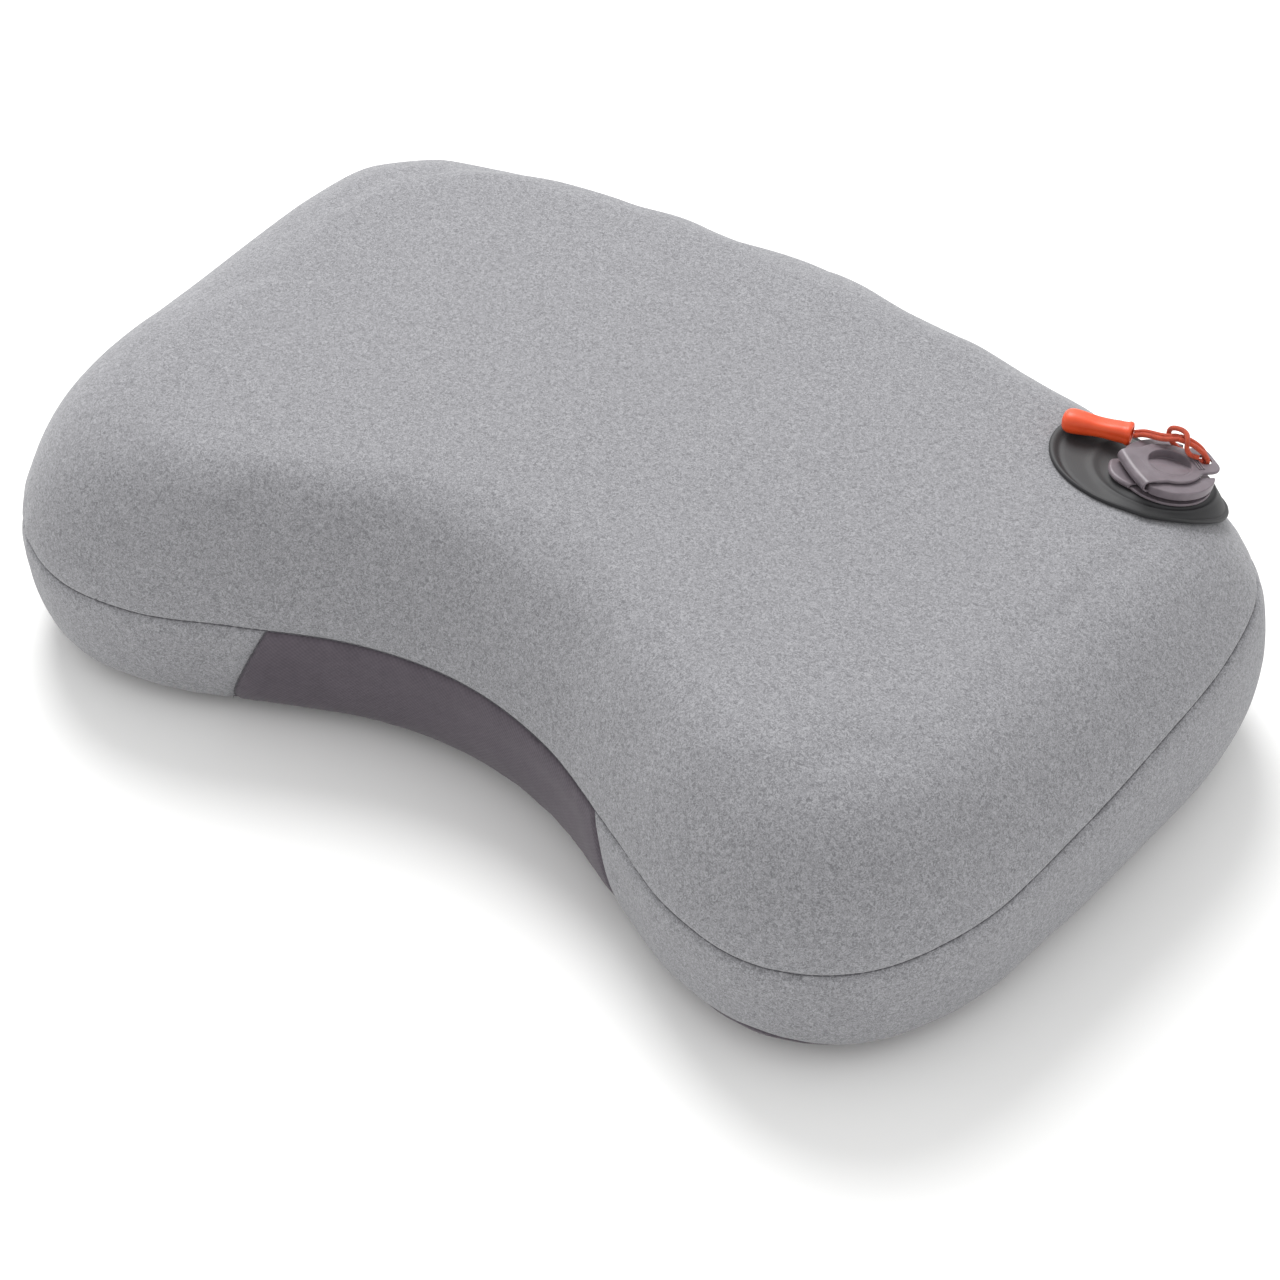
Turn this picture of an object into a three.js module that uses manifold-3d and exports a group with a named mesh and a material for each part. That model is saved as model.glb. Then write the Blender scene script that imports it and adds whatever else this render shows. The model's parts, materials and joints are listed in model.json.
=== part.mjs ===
// Inflatable camp pillow, contoured for the neck, with a two-stage flap valve.
//
// Frame, in millimetres: the origin is at the middle of the base, on the surface
// that the pillow rests on. +X runs along the pillow to the right, +Y towards its
// straight back edge, +Z up. The hollowed front edge faces -Y.

import * as THREE from 'three';
import { mergeVertices } from 'three/addons/utils/BufferGeometryUtils.js';
import ManifoldModule from 'manifold-3d';

const wasm = await ManifoldModule();
wasm.setup();

// ---------------------------------------------------------------- pillow sizes

const HALF_LENGTH = 215; // half of the pillow's length along X
const HALF_DEPTH = 145.5; // half of its depth along Y
const HEIGHT = 100; // from the surface to the crown
const GIRTH_Z = 41.5; // height where the pillow is widest
const SHOULDER_Z = 97.5; // height where the rounded top edge ends
const SHOULDER_INSET = 45; // how far in from the outline it ends
const SHOULDER_POWER = 1.9; // superellipse power of the rounded top edge
const SKIRT_INSET = 28; // how far in the flat of the base starts
const SKIRT_POWER = 2.6; // superellipse power of the rounded lower edge
const CROWN_INSET = 70; // how far in the slow rise to the crown ends
const RIDGE_HALF = 100; // half-length of the middle line that all sections face
const RIDGE_Y = -5; // where that line lies
const RIDGE_SPREAD = 0.75; // share of an outline point's X at which it faces the line

// Half of the outline seen from above, from the middle of the back edge round the
// right-hand end to the middle of the hollow in the front edge.
const HOLLOW_Y = -102.5;
const HALF_OUTLINE = [
  [0, HALF_DEPTH],
  [54, 143],
  [108, 135.5],
  [158, 124],
  [190, 109],
  [208, 87],
  [HALF_LENGTH, 54],
  [HALF_LENGTH, 10],
  [212, -42],
  [204, -95],
  [184, -130],
  [153, -HALF_DEPTH],
  [118, -142],
  [84, -127],
  [42, -109],
  [0, HOLLOW_Y],
];

const AROUND = 48; // facets round the outline
const PANEL_FIRST = 21; // outline station where the woven front panel starts
const PANEL_LAST = 27; // outline station where it ends

const KNIT = 1.5; // brushed knit with its backing
const WOVEN = 0.9; // plain-woven base and front panel
const FILM = 0.6; // coated film of the air bladder
const SEAM_MIDDLE_Z = 58; // height of the upper seam where Y is 0 at mid-length
const SEAM_RISE = 0.083; // rise of that seam per millimetre towards the back
const SEAM_END_LIFT = 3; // extra height of that seam at the two ends
const BASE_SEAM_Z = 5; // height of the seam round the base panel
const SEAM_GAP = 0.9; // from a seam's middle to the fabric on either side
const THREAD_R = 0.5; // radius of the sewn line
const BLADDER_DEPTH = 5; // bladder film below the cover's outer face
const WELD_DEPTH = 3.2; // folded weld band below the cover's outer face
const WELD_SPAN = 0.06; // half-height of the weld band, as a share of a quarter section

// ----------------------------------------------------------------- valve sizes

const VALVE_X = 163; // middle of the valve's port
const VALVE_Y = 83;
const VALVE_NORMAL = new THREE.Vector3(0.07, 0.16, 0.985).normalize();
const TAB_HEADING = 56; // degrees from +X to the way the finger tab points
const PATCH_X = 152.5; // middle of the oval backing patch
const PATCH_Y = 84;
const PATCH_R = 33; // half its length, along X
const PATCH_NARROW = 0.79; // its depth as a share of its length
const PATCH_LIFT = 0.4; // clearance over the cover
const PATCH_THICK = 1;
const PATCH_BEAD = 0.5; // raised rim of the patch
const PATCH_FLAT_R = 15.5; // the patch is flat out to here, from the port's middle
const PATCH_DRAPE_R = 26; // and lies on the cover from here on
const PATCH_HOLE_R = 14.5;
const COVER_HOLE_R = 16;

const SEAT_BORE_R = 12.9;
const SEAT_NECK_R = 14.1;
const SEAT_FLANGE_R = 16.2;
const SEAT_DEPTH = 9; // how far the seat reaches down into the bladder
const FLANGE_LOW = 0.3;
const FLANGE_TOP = 1.3;

const PLATE_R = 16.5; // deflation flap
const PLATE_LOW = 2.8;
const PLATE_TOP = 6;
const PLATE_EDGE_U = -12.6; // straight edge of the flap at its two living hinges
const PORT_R = 9.6;
const PORT_WALL_R = 11.2;
const PLUG_RING_R = 11.9;
const PLUG_RING_LOW = -3;
const GRILLE_LOW = -1.8;
const GRILLE_THICK = 0.8;
const GRILLE_BAR = 1.6;
const MEMBRANE_R = 9.1;
const MEMBRANE_TOP = -2.1;
const MEMBRANE_THICK = 0.5;

const CAP_LOW = 6.3; // inflation cap
const CAP_TOP = 7.5;
const CAP_R = 11.6;
const CAP_FOLD_U = -10.2; // straight edge of the cap at its living hinge
const CAP_FOLD_HALF = 10;
const CUP_R = 9;
const CUP_RECESS_R = 7.6;
const CUP_LOW = 1.7;
const CUP_FLOOR = 2.9;
const TAB_END_U = 17.5;
const TAB_HALF = 7.5;
const TAB_CORNER_R = 4;
const CORD_HOLE_U = 13.6;
const CORD_HOLE_R = 2.6;
const RIB_WIDTH = 0.45;
const RIB_LENGTH = 9;

const STRAP_GAP = 0.3; // clearance between a hinge strap and what it joins
const FLAP_STRAP_THICK = 0.8;
const FLAP_STRAP_HALF = 7.5;
const FLAP_STRAP_V = 3.5; // the lower strap sits off the middle
const FLAP_STRAP_END_U = -12.2; // its upper leg runs under the flap to here
const FLAP_STRAP_FOLD_U = -18;
const CAP_STRAP_THICK = 1;
const CAP_STRAP_FOLD_U = -13.2;

const CORD_R = 0.9;

// ----------------------------------------------------------------- colours

const finish = (color, roughness) => new THREE.MeshStandardMaterial({ color, roughness, metalness: 0 });
const knitFinish = finish('#9b9ea4', 0.95);
const wovenFinish = finish('#5d5660', 0.85);
const threadFinish = finish('#5a5c61', 0.9);
const filmFinish = finish('#b9bcc2', 0.5);
const patchFinish = finish('#2b2b2c', 0.6);
const valveFinish = finish('#8c878c', 0.45);
const membraneFinish = finish('#d8d6d2', 0.4);
const cordFinish = finish('#e2461f', 0.8);
const tabFinish = finish('#ee4a24', 0.5);

// ------------------------------------------------------- shape of the pillow

const mirroredHalf = HALF_OUTLINE.slice(1, -1).reverse().map(([x, y]) => [-x, y]);
const outline = new THREE.CatmullRomCurve3(
  [...HALF_OUTLINE, ...mirroredHalf].map(([x, y]) => new THREE.Vector3(x, y, 0)),
  true,
  'centripetal'
);
outline.arcLengthDivisions = 1200;

const wrap = (u) => ((u % 1) + 1) % 1;
const mix = THREE.MathUtils.lerp;
const clamp = THREE.MathUtils.clamp;
const smoothstep = THREE.MathUtils.smoothstep;

// A section runs from the edge of the flat base (0) up the rounded lower edge to
// the girth (1), over the rounded top edge (2) and on to the crown (3).
function section(s) {
  if (s <= 1) {
    const angle = s * Math.PI / 2;
    return {
      inset: SKIRT_INSET * (1 - Math.sin(angle) ** (2 / SKIRT_POWER)),
      z: GIRTH_Z * (1 - Math.cos(angle) ** (2 / SKIRT_POWER)),
    };
  }
  const angle = Math.min(s - 1, 1) * Math.PI / 2;
  const rounded = SHOULDER_INSET * (1 - Math.max(Math.cos(angle), 0) ** (2 / SHOULDER_POWER));
  const inset = s <= 2 ? rounded : mix(SHOULDER_INSET, CROWN_INSET, s - 2);
  const rise = 1 - (1 - inset / CROWN_INSET) ** 2;
  return {
    inset,
    z: GIRTH_Z + (SHOULDER_Z - GIRTH_Z) * Math.sin(angle) ** (2 / SHOULDER_POWER)
      + (HEIGHT - SHOULDER_Z) * rise,
  };
}

function surfacePoint(u, s) {
  const edge = outline.getPointAt(wrap(u));
  const ridgeX = clamp(edge.x * RIDGE_SPREAD, -RIDGE_HALF, RIDGE_HALF);
  const inward = new THREE.Vector3(ridgeX, RIDGE_Y, 0).sub(edge).normalize();
  const { inset, z } = section(s);
  return edge.addScaledVector(inward, inset).setZ(z);
}

// Outward unit normal, the direction up the section and the direction round it.
function surfaceFrame(u, s) {
  const low = Math.max(s - 0.01, 0);
  const high = Math.min(s + 0.01, 3);
  const up = surfacePoint(u, high).sub(surfacePoint(u, low)).normalize();
  const along = surfacePoint(u + 0.002, s).sub(surfacePoint(u - 0.002, s)).normalize();
  if (s < 0.02) up.set(0, 0, 1).cross(along);
  const normal = new THREE.Vector3().crossVectors(up, along).normalize();
  return { normal, up, along };
}

function shellPoint(u, s, depth) {
  return surfacePoint(u, s).addScaledVector(surfaceFrame(u, s).normal, -depth);
}

// Section stations of the two seams at outline station u.
function upperSeam(u) {
  const { x, y } = outline.getPointAt(wrap(u));
  const z = SEAM_MIDDLE_Z + SEAM_RISE * y + SEAM_END_LIFT * (x / HALF_LENGTH) ** 2;
  const share = (z - GIRTH_Z) / (SHOULDER_Z - GIRTH_Z);
  return 1 + Math.asin(share ** (SHOULDER_POWER / 2)) * 2 / Math.PI;
}

const BASE_SEAM = Math.acos((1 - BASE_SEAM_Z / GIRTH_Z) ** (SKIRT_POWER / 2)) * 2 / Math.PI;

// Moves a section station by a distance along the surface.
function stepAlong(u, s, distance) {
  const reach = surfacePoint(u, s + 0.01).distanceTo(surfacePoint(u, s - 0.01));
  return s + distance * 0.02 / reach;
}

const stations = Array.from({ length: AROUND }, (_, i) => i / AROUND);
const OUTLINE_LENGTH = outline.getLength();
const seamStep = SEAM_GAP / OUTLINE_LENGTH;
const spread = (from, to, count) => Array.from({ length: count + 1 }, (_, i) => mix(from, to, i / count));

// ------------------------------------------------------------ mesh building

function toGeometry(points, triangles) {
  const geometry = new THREE.BufferGeometry();
  geometry.setAttribute('position', new THREE.Float32BufferAttribute(points.flatMap((p) => p.toArray()), 3));
  geometry.setIndex(triangles.flat());
  geometry.computeVertexNormals();
  return geometry;
}

// A closed shell between two grids of points, outer[row][column] and
// inner[row][column]. Columns run round the outline and join up when ring is true;
// lidFirst and lidLast close the first or last row across instead of giving it a rim.
function shell(outer, inner, { ring, lidFirst = false, lidLast = false }) {
  const rows = outer.length;
  const columns = outer[0].length;
  const points = [...outer.flat(), ...inner.flat()];
  const at = (side, row, column) => side * rows * columns + row * columns + column % columns;
  const triangles = [];
  const quad = (a, b, c, d) => triangles.push([a, b, c], [a, c, d]);
  const spans = ring ? columns : columns - 1;
  for (let column = 0; column < spans; column += 1) {
    for (let row = 0; row < rows - 1; row += 1) {
      quad(at(0, row, column), at(0, row + 1, column), at(0, row + 1, column + 1), at(0, row, column + 1));
      quad(at(1, row, column), at(1, row, column + 1), at(1, row + 1, column + 1), at(1, row + 1, column));
    }
    if (!lidFirst) quad(at(0, 0, column), at(0, 0, column + 1), at(1, 0, column + 1), at(1, 0, column));
    const last = rows - 1;
    if (!lidLast) {
      quad(at(0, last, column), at(1, last, column), at(1, last, column + 1), at(0, last, column + 1));
    }
  }
  if (!ring) {
    const end = columns - 1;
    for (let row = 0; row < rows - 1; row += 1) {
      quad(at(0, row, 0), at(1, row, 0), at(1, row + 1, 0), at(0, row + 1, 0));
      quad(at(0, row, end), at(0, row + 1, end), at(1, row + 1, end), at(1, row, end));
    }
  }
  const lid = (side, row, faceUp) => {
    const ringPoints = (side === 0 ? outer : inner)[row];
    const flat = ringPoints.map((p) => new THREE.Vector2(p.x, p.y));
    for (const [a, b, c] of THREE.ShapeUtils.triangulateShape(flat, [])) {
      const [pa, pb, pc] = [flat[a], flat[b], flat[c]];
      const isUp = (pb.x - pa.x) * (pc.y - pa.y) - (pb.y - pa.y) * (pc.x - pa.x) > 0;
      const corners = isUp === faceUp ? [a, b, c] : [a, c, b];
      triangles.push(corners.map((i) => at(side, row, i)));
    }
  };
  if (lidFirst) {
    lid(0, 0, false);
    lid(1, 0, true);
  }
  if (lidLast) {
    lid(0, rows - 1, true);
    lid(1, rows - 1, false);
  }
  return toGeometry(points, triangles);
}

// Shell of the pillow's own surface over the outline stations, with the rows that
// sectionRows(u) gives, from outerDepth to innerDepth below the cover's outer face.
function skin(columns, sectionRows, outerDepth, innerDepth, options) {
  const grids = [outerDepth, innerDepth].map((depth) => {
    const byColumn = columns.map((u) => sectionRows(u).map((s) => shellPoint(u, s, depth)));
    return byColumn[0].map((_, row) => byColumn.map((column) => column[row]));
  });
  return shell(grids[0], grids[1], options);
}

// A thin tube through stations of the surface, centred a little below its face: a
// closed ring round the pillow, or a line that runs up the section.
function threadLine(stationPairs, ring) {
  const SIDES = 4;
  const rows = spread(0, SIDES - 1, SIDES - 1).map((side) => stationPairs.map(([u, s]) => {
    const { normal, up, along } = surfaceFrame(u, s);
    const across = ring ? up : along.negate();
    const angle = side * 2 * Math.PI / SIDES;
    return surfacePoint(u, s)
      .addScaledVector(normal, THREAD_R * Math.cos(angle) - THREAD_R)
      .addScaledVector(across, THREAD_R * Math.sin(angle));
  }));
  const columns = stationPairs.length;
  const at = (side, column) => (side % SIDES) * columns + column % columns;
  const triangles = [];
  for (let column = 0; column < (ring ? columns : columns - 1); column += 1) {
    for (let side = 0; side < SIDES; side += 1) {
      const [a, b] = [at(side, column), at(side + 1, column)];
      const [c, d] = [at(side + 1, column + 1), at(side, column + 1)];
      triangles.push([a, b, c], [a, c, d]);
    }
  }
  if (!ring) {
    const end = columns - 1;
    triangles.push([at(0, 0), at(2, 0), at(1, 0)], [at(0, 0), at(3, 0), at(2, 0)]);
    triangles.push([at(0, end), at(1, end), at(2, end)], [at(0, end), at(2, end), at(3, end)]);
  }
  return toGeometry(rows.flat(), triangles);
}

function toSolid(geometry) {
  const bare = geometry.clone();
  bare.deleteAttribute('normal');
  bare.deleteAttribute('uv');
  const merged = mergeVertices(bare, 1e-4);
  return new wasm.Manifold(new wasm.Mesh({
    numProp: 3,
    vertProperties: new Float32Array(merged.attributes.position.array),
    triVerts: new Uint32Array(merged.index.array),
  }));
}

function fromSolid(solid) {
  const mesh = solid.getMesh();
  const geometry = new THREE.BufferGeometry();
  geometry.setAttribute('position', new THREE.BufferAttribute(new Float32Array(mesh.vertProperties), 3));
  geometry.setIndex(new THREE.BufferAttribute(new Uint32Array(mesh.triVerts), 1));
  geometry.computeVertexNormals();
  return geometry;
}

// Upright cylinder and box in the valve's own frame, from height low to high.
function disc(radius, low, high, sides = 40, u = 0, v = 0) {
  const geometry = new THREE.CylinderGeometry(radius, radius, high - low, sides);
  geometry.rotateX(Math.PI / 2);
  geometry.translate(u, v, (low + high) / 2);
  return geometry;
}

function block(fromU, toU, fromV, toV, low, high) {
  const geometry = new THREE.BoxGeometry(toU - fromU, toV - fromV, high - low);
  geometry.translate((fromU + toU) / 2, (fromV + toV) / 2, (low + high) / 2);
  return geometry;
}

const lathe = (profile, sides = 40) => {
  const ring = [...profile, profile[0]].map(([r, z]) => new THREE.Vector2(r, z));
  const geometry = new THREE.LatheGeometry(ring, sides);
  geometry.rotateX(Math.PI / 2);
  return geometry;
};

const group = new THREE.Group();

function addTo(parent, name, geometry, material) {
  const mesh = new THREE.Mesh(geometry, material);
  mesh.name = name;
  parent.add(mesh);
}

// ---------------------------------------------------------- valve's own frame

// Nearest point of the pillow's upper surface above or below (x, y).
function surfaceOver(x, y) {
  let best = { u: 0, s: 2, error: Infinity };
  for (let u = 0; u < 1; u += 0.02) {
    for (let s = 1.2; s <= 3; s += 0.1) {
      const p = surfacePoint(u, s);
      const error = Math.hypot(p.x - x, p.y - y);
      if (error < best.error) best = { u, s, error };
    }
  }
  let { u, s } = best;
  for (let pass = 0; pass < 12; pass += 1) {
    const p = surfacePoint(u, s);
    const du = surfacePoint(u + 0.001, s).sub(p).divideScalar(0.001);
    const ds = surfacePoint(u, s + 0.001).sub(p).divideScalar(0.001);
    const determinant = du.x * ds.y - du.y * ds.x;
    const [ex, ey] = [x - p.x, y - p.y];
    u += clamp((ex * ds.y - ey * ds.x) / determinant, -0.01, 0.01);
    s = clamp(s + clamp((ey * du.x - ex * du.y) / determinant, -0.1, 0.1), 1.01, 2.95);
  }
  return { point: surfacePoint(u, s), normal: surfaceFrame(u, s).normal };
}

const port = surfaceOver(VALVE_X, VALVE_Y).point;
const tabDirection = new THREE.Vector3(
  Math.cos(THREE.MathUtils.degToRad(TAB_HEADING)),
  Math.sin(THREE.MathUtils.degToRad(TAB_HEADING)),
  0
);
const valveU = tabDirection.addScaledVector(VALVE_NORMAL, -tabDirection.dot(VALVE_NORMAL)).normalize();
const valveV = new THREE.Vector3().crossVectors(VALVE_NORMAL, valveU);
const patchTop = port.clone().addScaledVector(VALVE_NORMAL, PATCH_LIFT + PATCH_THICK);
const valve = new THREE.Group();
valve.quaternion.setFromRotationMatrix(new THREE.Matrix4().makeBasis(valveU, valveV, VALVE_NORMAL));
valve.position.copy(patchTop);
group.add(valve);
valve.updateMatrixWorld(true);

const portCutter = (radius) => toSolid(disc(radius, -40, 40)).transform(Array.from(valve.matrixWorld.elements));

// ------------------------------------------------------------------- cover

const crownRows = (from) => [...spread(from, 2, 4), 2.5, 3];

const topPanel = skin(
  stations,
  (u) => crownRows(stepAlong(u, upperSeam(u), SEAM_GAP)),
  0,
  KNIT,
  { ring: true, lidLast: true }
);
addTo(group, 'cover_top_panel', fromSolid(toSolid(topPanel).subtract(portCutter(COVER_HOLE_R))), knitFinish);

const wallRows = (u) => {
  const low = stepAlong(u, BASE_SEAM, SEAM_GAP);
  const high = stepAlong(u, upperSeam(u), -SEAM_GAP);
  return [...spread(low, 1, 2), ...spread(1, high, 2).slice(1)];
};

const panelStart = PANEL_FIRST / AROUND;
const panelEnd = PANEL_LAST / AROUND;
const frontStations = spread(panelStart, panelEnd, PANEL_LAST - PANEL_FIRST);
frontStations[0] += seamStep;
frontStations[frontStations.length - 1] -= seamStep;
const bandSpans = AROUND - (PANEL_LAST - PANEL_FIRST);
const bandStations = spread(panelEnd, panelStart + 1, bandSpans);
bandStations[0] += seamStep;
bandStations[bandStations.length - 1] -= seamStep;

addTo(group, 'cover_side_band', skin(bandStations, wallRows, 0, KNIT, { ring: false }), knitFinish);
addTo(group, 'cover_front_panel', skin(frontStations, wallRows, 0, WOVEN, { ring: false }), wovenFinish);

const baseRows = (u) => spread(0, stepAlong(u, BASE_SEAM, -SEAM_GAP), 2);
addTo(
  group,
  'cover_base_panel',
  skin(stations, baseRows, 0, WOVEN, { ring: true, lidFirst: true }),
  wovenFinish
);

addTo(group, 'seam_upper', threadLine(stations.map((u) => [u, upperSeam(u)]), true), threadFinish);
addTo(group, 'seam_base', threadLine(stations.map((u) => [u, BASE_SEAM]), true), threadFinish);
for (const [name, u] of [['seam_front_right', panelStart], ['seam_front_left', panelEnd]]) {
  const low = stepAlong(u, BASE_SEAM, 2 * SEAM_GAP);
  const high = stepAlong(u, upperSeam(u), -2 * SEAM_GAP);
  addTo(group, name, threadLine(spread(low, high, 6).map((s) => [u, s]), false), threadFinish);
}

// ------------------------------------------------------------- air bladder

const upperFilm = skin(
  stations,
  () => [...spread(1.01, 2, 4), 2.5, 3],
  BLADDER_DEPTH,
  BLADDER_DEPTH + FILM,
  { ring: true, lidLast: true }
);
const upperFilmCut = toSolid(upperFilm).subtract(portCutter(PATCH_HOLE_R));
addTo(group, 'bladder_upper_film', fromSolid(upperFilmCut), filmFinish);
addTo(
  group,
  'bladder_lower_film',
  skin(stations, () => [...spread(0, 0.99, 4)], BLADDER_DEPTH, BLADDER_DEPTH + FILM, {
    ring: true,
    lidFirst: true,
  }),
  filmFinish
);
addTo(
  group,
  'bladder_weld_band',
  skin(stations, () => [1 - WELD_SPAN, 1 + WELD_SPAN], WELD_DEPTH, WELD_DEPTH + FILM, { ring: true }),
  filmFinish
);

// ------------------------------------------------------- valve backing patch

const PATCH_SECTORS = 32;
const patchRings = [8, 15, 20, 25, 29.5, 30.5, PATCH_R];

function patchPoint(radius, angle, height) {
  const x = PATCH_X + radius * Math.cos(angle);
  const y = PATCH_Y + PATCH_NARROW * radius * Math.sin(angle);
  const { point, normal } = surfaceOver(x, y);
  const away = Math.hypot(x - port.x, y - port.y);
  const draped = smoothstep(away, PATCH_FLAT_R, PATCH_DRAPE_R);
  const fall = (x - port.x) * VALVE_NORMAL.x + (y - port.y) * VALVE_NORMAL.y;
  const flatZ = port.z - fall / VALVE_NORMAL.z;
  const bead = radius > 30 ? PATCH_BEAD : 0;
  const facing = VALVE_NORMAL.clone().lerp(normal, draped).normalize();
  return new THREE.Vector3(x, y, mix(flatZ, point.z, draped))
    .addScaledVector(facing, height > PATCH_LIFT ? height + bead : height);
}

const patchGrid = (height) => patchRings.map((radius) => (
  Array.from({ length: PATCH_SECTORS }, (_, i) => (
    patchPoint(radius, -i * 2 * Math.PI / PATCH_SECTORS, height)
  ))
)).reverse();
const patch = shell(patchGrid(PATCH_LIFT + PATCH_THICK), patchGrid(PATCH_LIFT), {
  ring: true,
  lidLast: true,
});
addTo(group, 'valve_patch', fromSolid(toSolid(patch).subtract(portCutter(PATCH_HOLE_R))), patchFinish);

// -------------------------------------------------------------- flap valve

const seatProfile = [
  [SEAT_BORE_R, -SEAT_DEPTH],
  [SEAT_NECK_R, -SEAT_DEPTH],
  [SEAT_NECK_R, FLANGE_LOW],
  [SEAT_FLANGE_R, FLANGE_LOW],
  [SEAT_FLANGE_R, FLANGE_TOP],
  [SEAT_BORE_R, FLANGE_TOP],
];
addTo(valve, 'valve_seat', lathe(seatProfile), valveFinish);

function deflationFlap() {
  const notchBlock = toSolid(block(7, 20, -TAB_HALF - 0.8, 11, PLATE_LOW - 1, PLATE_TOP + 1));
  const notch = notchBlock.subtract(toSolid(disc(PORT_WALL_R, PLATE_LOW - 2, PLATE_TOP + 2)));
  const hingeEdge = toSolid(block(-20, PLATE_EDGE_U, -20, 20, PLATE_LOW - 1, PLATE_TOP + 1));
  let solid = toSolid(disc(PLATE_R, PLATE_LOW, PLATE_TOP)).subtract(notch).subtract(hingeEdge);
  solid = solid.add(toSolid(disc(PLUG_RING_R, PLUG_RING_LOW, PLATE_LOW + 0.5)));
  solid = solid.subtract(toSolid(disc(PORT_R, PLUG_RING_LOW - 1, PLATE_TOP + 1)));
  for (const turn of [0, 60, 120]) {
    const bar = block(-PORT_R - 0.5, PORT_R + 0.5, -GRILLE_BAR / 2, GRILLE_BAR / 2, GRILLE_LOW,
      GRILLE_LOW + GRILLE_THICK);
    bar.rotateZ(THREE.MathUtils.degToRad(turn));
    solid = solid.add(toSolid(bar));
  }
  return fromSolid(solid);
}
addTo(valve, 'deflation_flap', deflationFlap(), valveFinish);

addTo(
  valve,
  'check_membrane',
  disc(MEMBRANE_R, MEMBRANE_TOP - MEMBRANE_THICK, MEMBRANE_TOP, 28),
  membraneFinish
);

function inflationCap() {
  const startAngle = Math.asin(CAP_FOLD_HALF / CAP_R);
  const startU = -CAP_R * Math.cos(startAngle);
  const neckAngle = Math.asin(TAB_HALF / CAP_R);
  const cornerU = TAB_END_U - TAB_CORNER_R;
  const cornerV = TAB_HALF - TAB_CORNER_R;
  const shape = new THREE.Shape();
  shape.moveTo(CAP_FOLD_U, -CAP_FOLD_HALF);
  shape.lineTo(startU, -CAP_FOLD_HALF);
  shape.absarc(0, 0, CAP_R, Math.PI + startAngle, 2 * Math.PI - neckAngle, false);
  shape.lineTo(cornerU, -TAB_HALF);
  shape.absarc(cornerU, -cornerV, TAB_CORNER_R, -Math.PI / 2, 0, false);
  shape.absarc(cornerU, cornerV, TAB_CORNER_R, 0, Math.PI / 2, false);
  shape.lineTo(CAP_R * Math.cos(neckAngle), TAB_HALF);
  shape.absarc(0, 0, CAP_R, neckAngle, Math.PI - startAngle, false);
  shape.lineTo(CAP_FOLD_U, CAP_FOLD_HALF);
  shape.closePath();
  const plate = new THREE.ExtrudeGeometry(shape, {
    depth: CAP_TOP - CAP_LOW,
    bevelEnabled: false,
    curveSegments: 12,
  });
  plate.translate(0, 0, CAP_LOW);
  let solid = toSolid(plate).add(toSolid(disc(CUP_R, CUP_LOW, CAP_LOW + 0.5)));
  solid = solid.subtract(toSolid(disc(CUP_RECESS_R, CUP_FLOOR, CAP_TOP + 1, 32)));
  solid = solid.subtract(toSolid(disc(CORD_HOLE_R, CAP_LOW - 1, CAP_TOP + 1, 20, CORD_HOLE_U)));
  for (const u of [8.5, 9.4, 10.3]) {
    const rib = block(u, u + RIB_WIDTH, -RIB_LENGTH / 2, RIB_LENGTH / 2, CAP_TOP - 0.3, CAP_TOP + 0.4);
    solid = solid.add(toSolid(rib));
  }
  return fromSolid(solid);
}
addTo(valve, 'inflation_cap', inflationCap(), valveFinish);

// A living hinge folded back on itself: a C seen along the hinge, extruded along it.
// Its legs end at lowEndU and highEndU, and its fold starts at foldU.
function foldedStrap({ lowEndU, highEndU, foldU, low, high, thickness, halfLength, v = 0 }) {
  const middle = (low + high) / 2;
  const outer = (high - low) / 2;
  const inner = outer - thickness;
  const shape = new THREE.Shape();
  shape.moveTo(lowEndU, low);
  shape.lineTo(lowEndU, low + thickness);
  shape.lineTo(foldU, low + thickness);
  shape.absarc(foldU, middle, inner, 1.5 * Math.PI, 0.5 * Math.PI, true);
  shape.lineTo(highEndU, high - thickness);
  shape.lineTo(highEndU, high);
  shape.lineTo(foldU, high);
  shape.absarc(foldU, middle, outer, 0.5 * Math.PI, 1.5 * Math.PI, false);
  shape.closePath();
  const strap = new THREE.ExtrudeGeometry(shape, {
    depth: 2 * halfLength,
    bevelEnabled: false,
    curveSegments: 6,
  });
  // The outline lies in the plane of u and height; the extrusion runs along v.
  strap.applyMatrix4(new THREE.Matrix4().makeBasis(
    new THREE.Vector3(1, 0, 0),
    new THREE.Vector3(0, 0, 1),
    new THREE.Vector3(0, -1, 0)
  ));
  strap.translate(0, halfLength + v, 0);
  return strap;
}
addTo(valve, 'flap_hinge_strap', foldedStrap({
  lowEndU: -SEAT_FLANGE_R - STRAP_GAP,
  highEndU: FLAP_STRAP_END_U,
  foldU: FLAP_STRAP_FOLD_U,
  low: FLANGE_LOW,
  high: PLATE_LOW - STRAP_GAP,
  thickness: FLAP_STRAP_THICK,
  halfLength: FLAP_STRAP_HALF,
  v: FLAP_STRAP_V,
}), valveFinish);
addTo(valve, 'cap_hinge_strap', foldedStrap({
  lowEndU: PLATE_EDGE_U - STRAP_GAP,
  highEndU: CAP_FOLD_U - STRAP_GAP,
  foldU: CAP_STRAP_FOLD_U,
  low: PLATE_LOW + STRAP_GAP,
  high: CAP_TOP,
  thickness: CAP_STRAP_THICK,
  halfLength: CAP_FOLD_HALF,
}), valveFinish);

// --------------------------------------------------------------- pull cord

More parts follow.
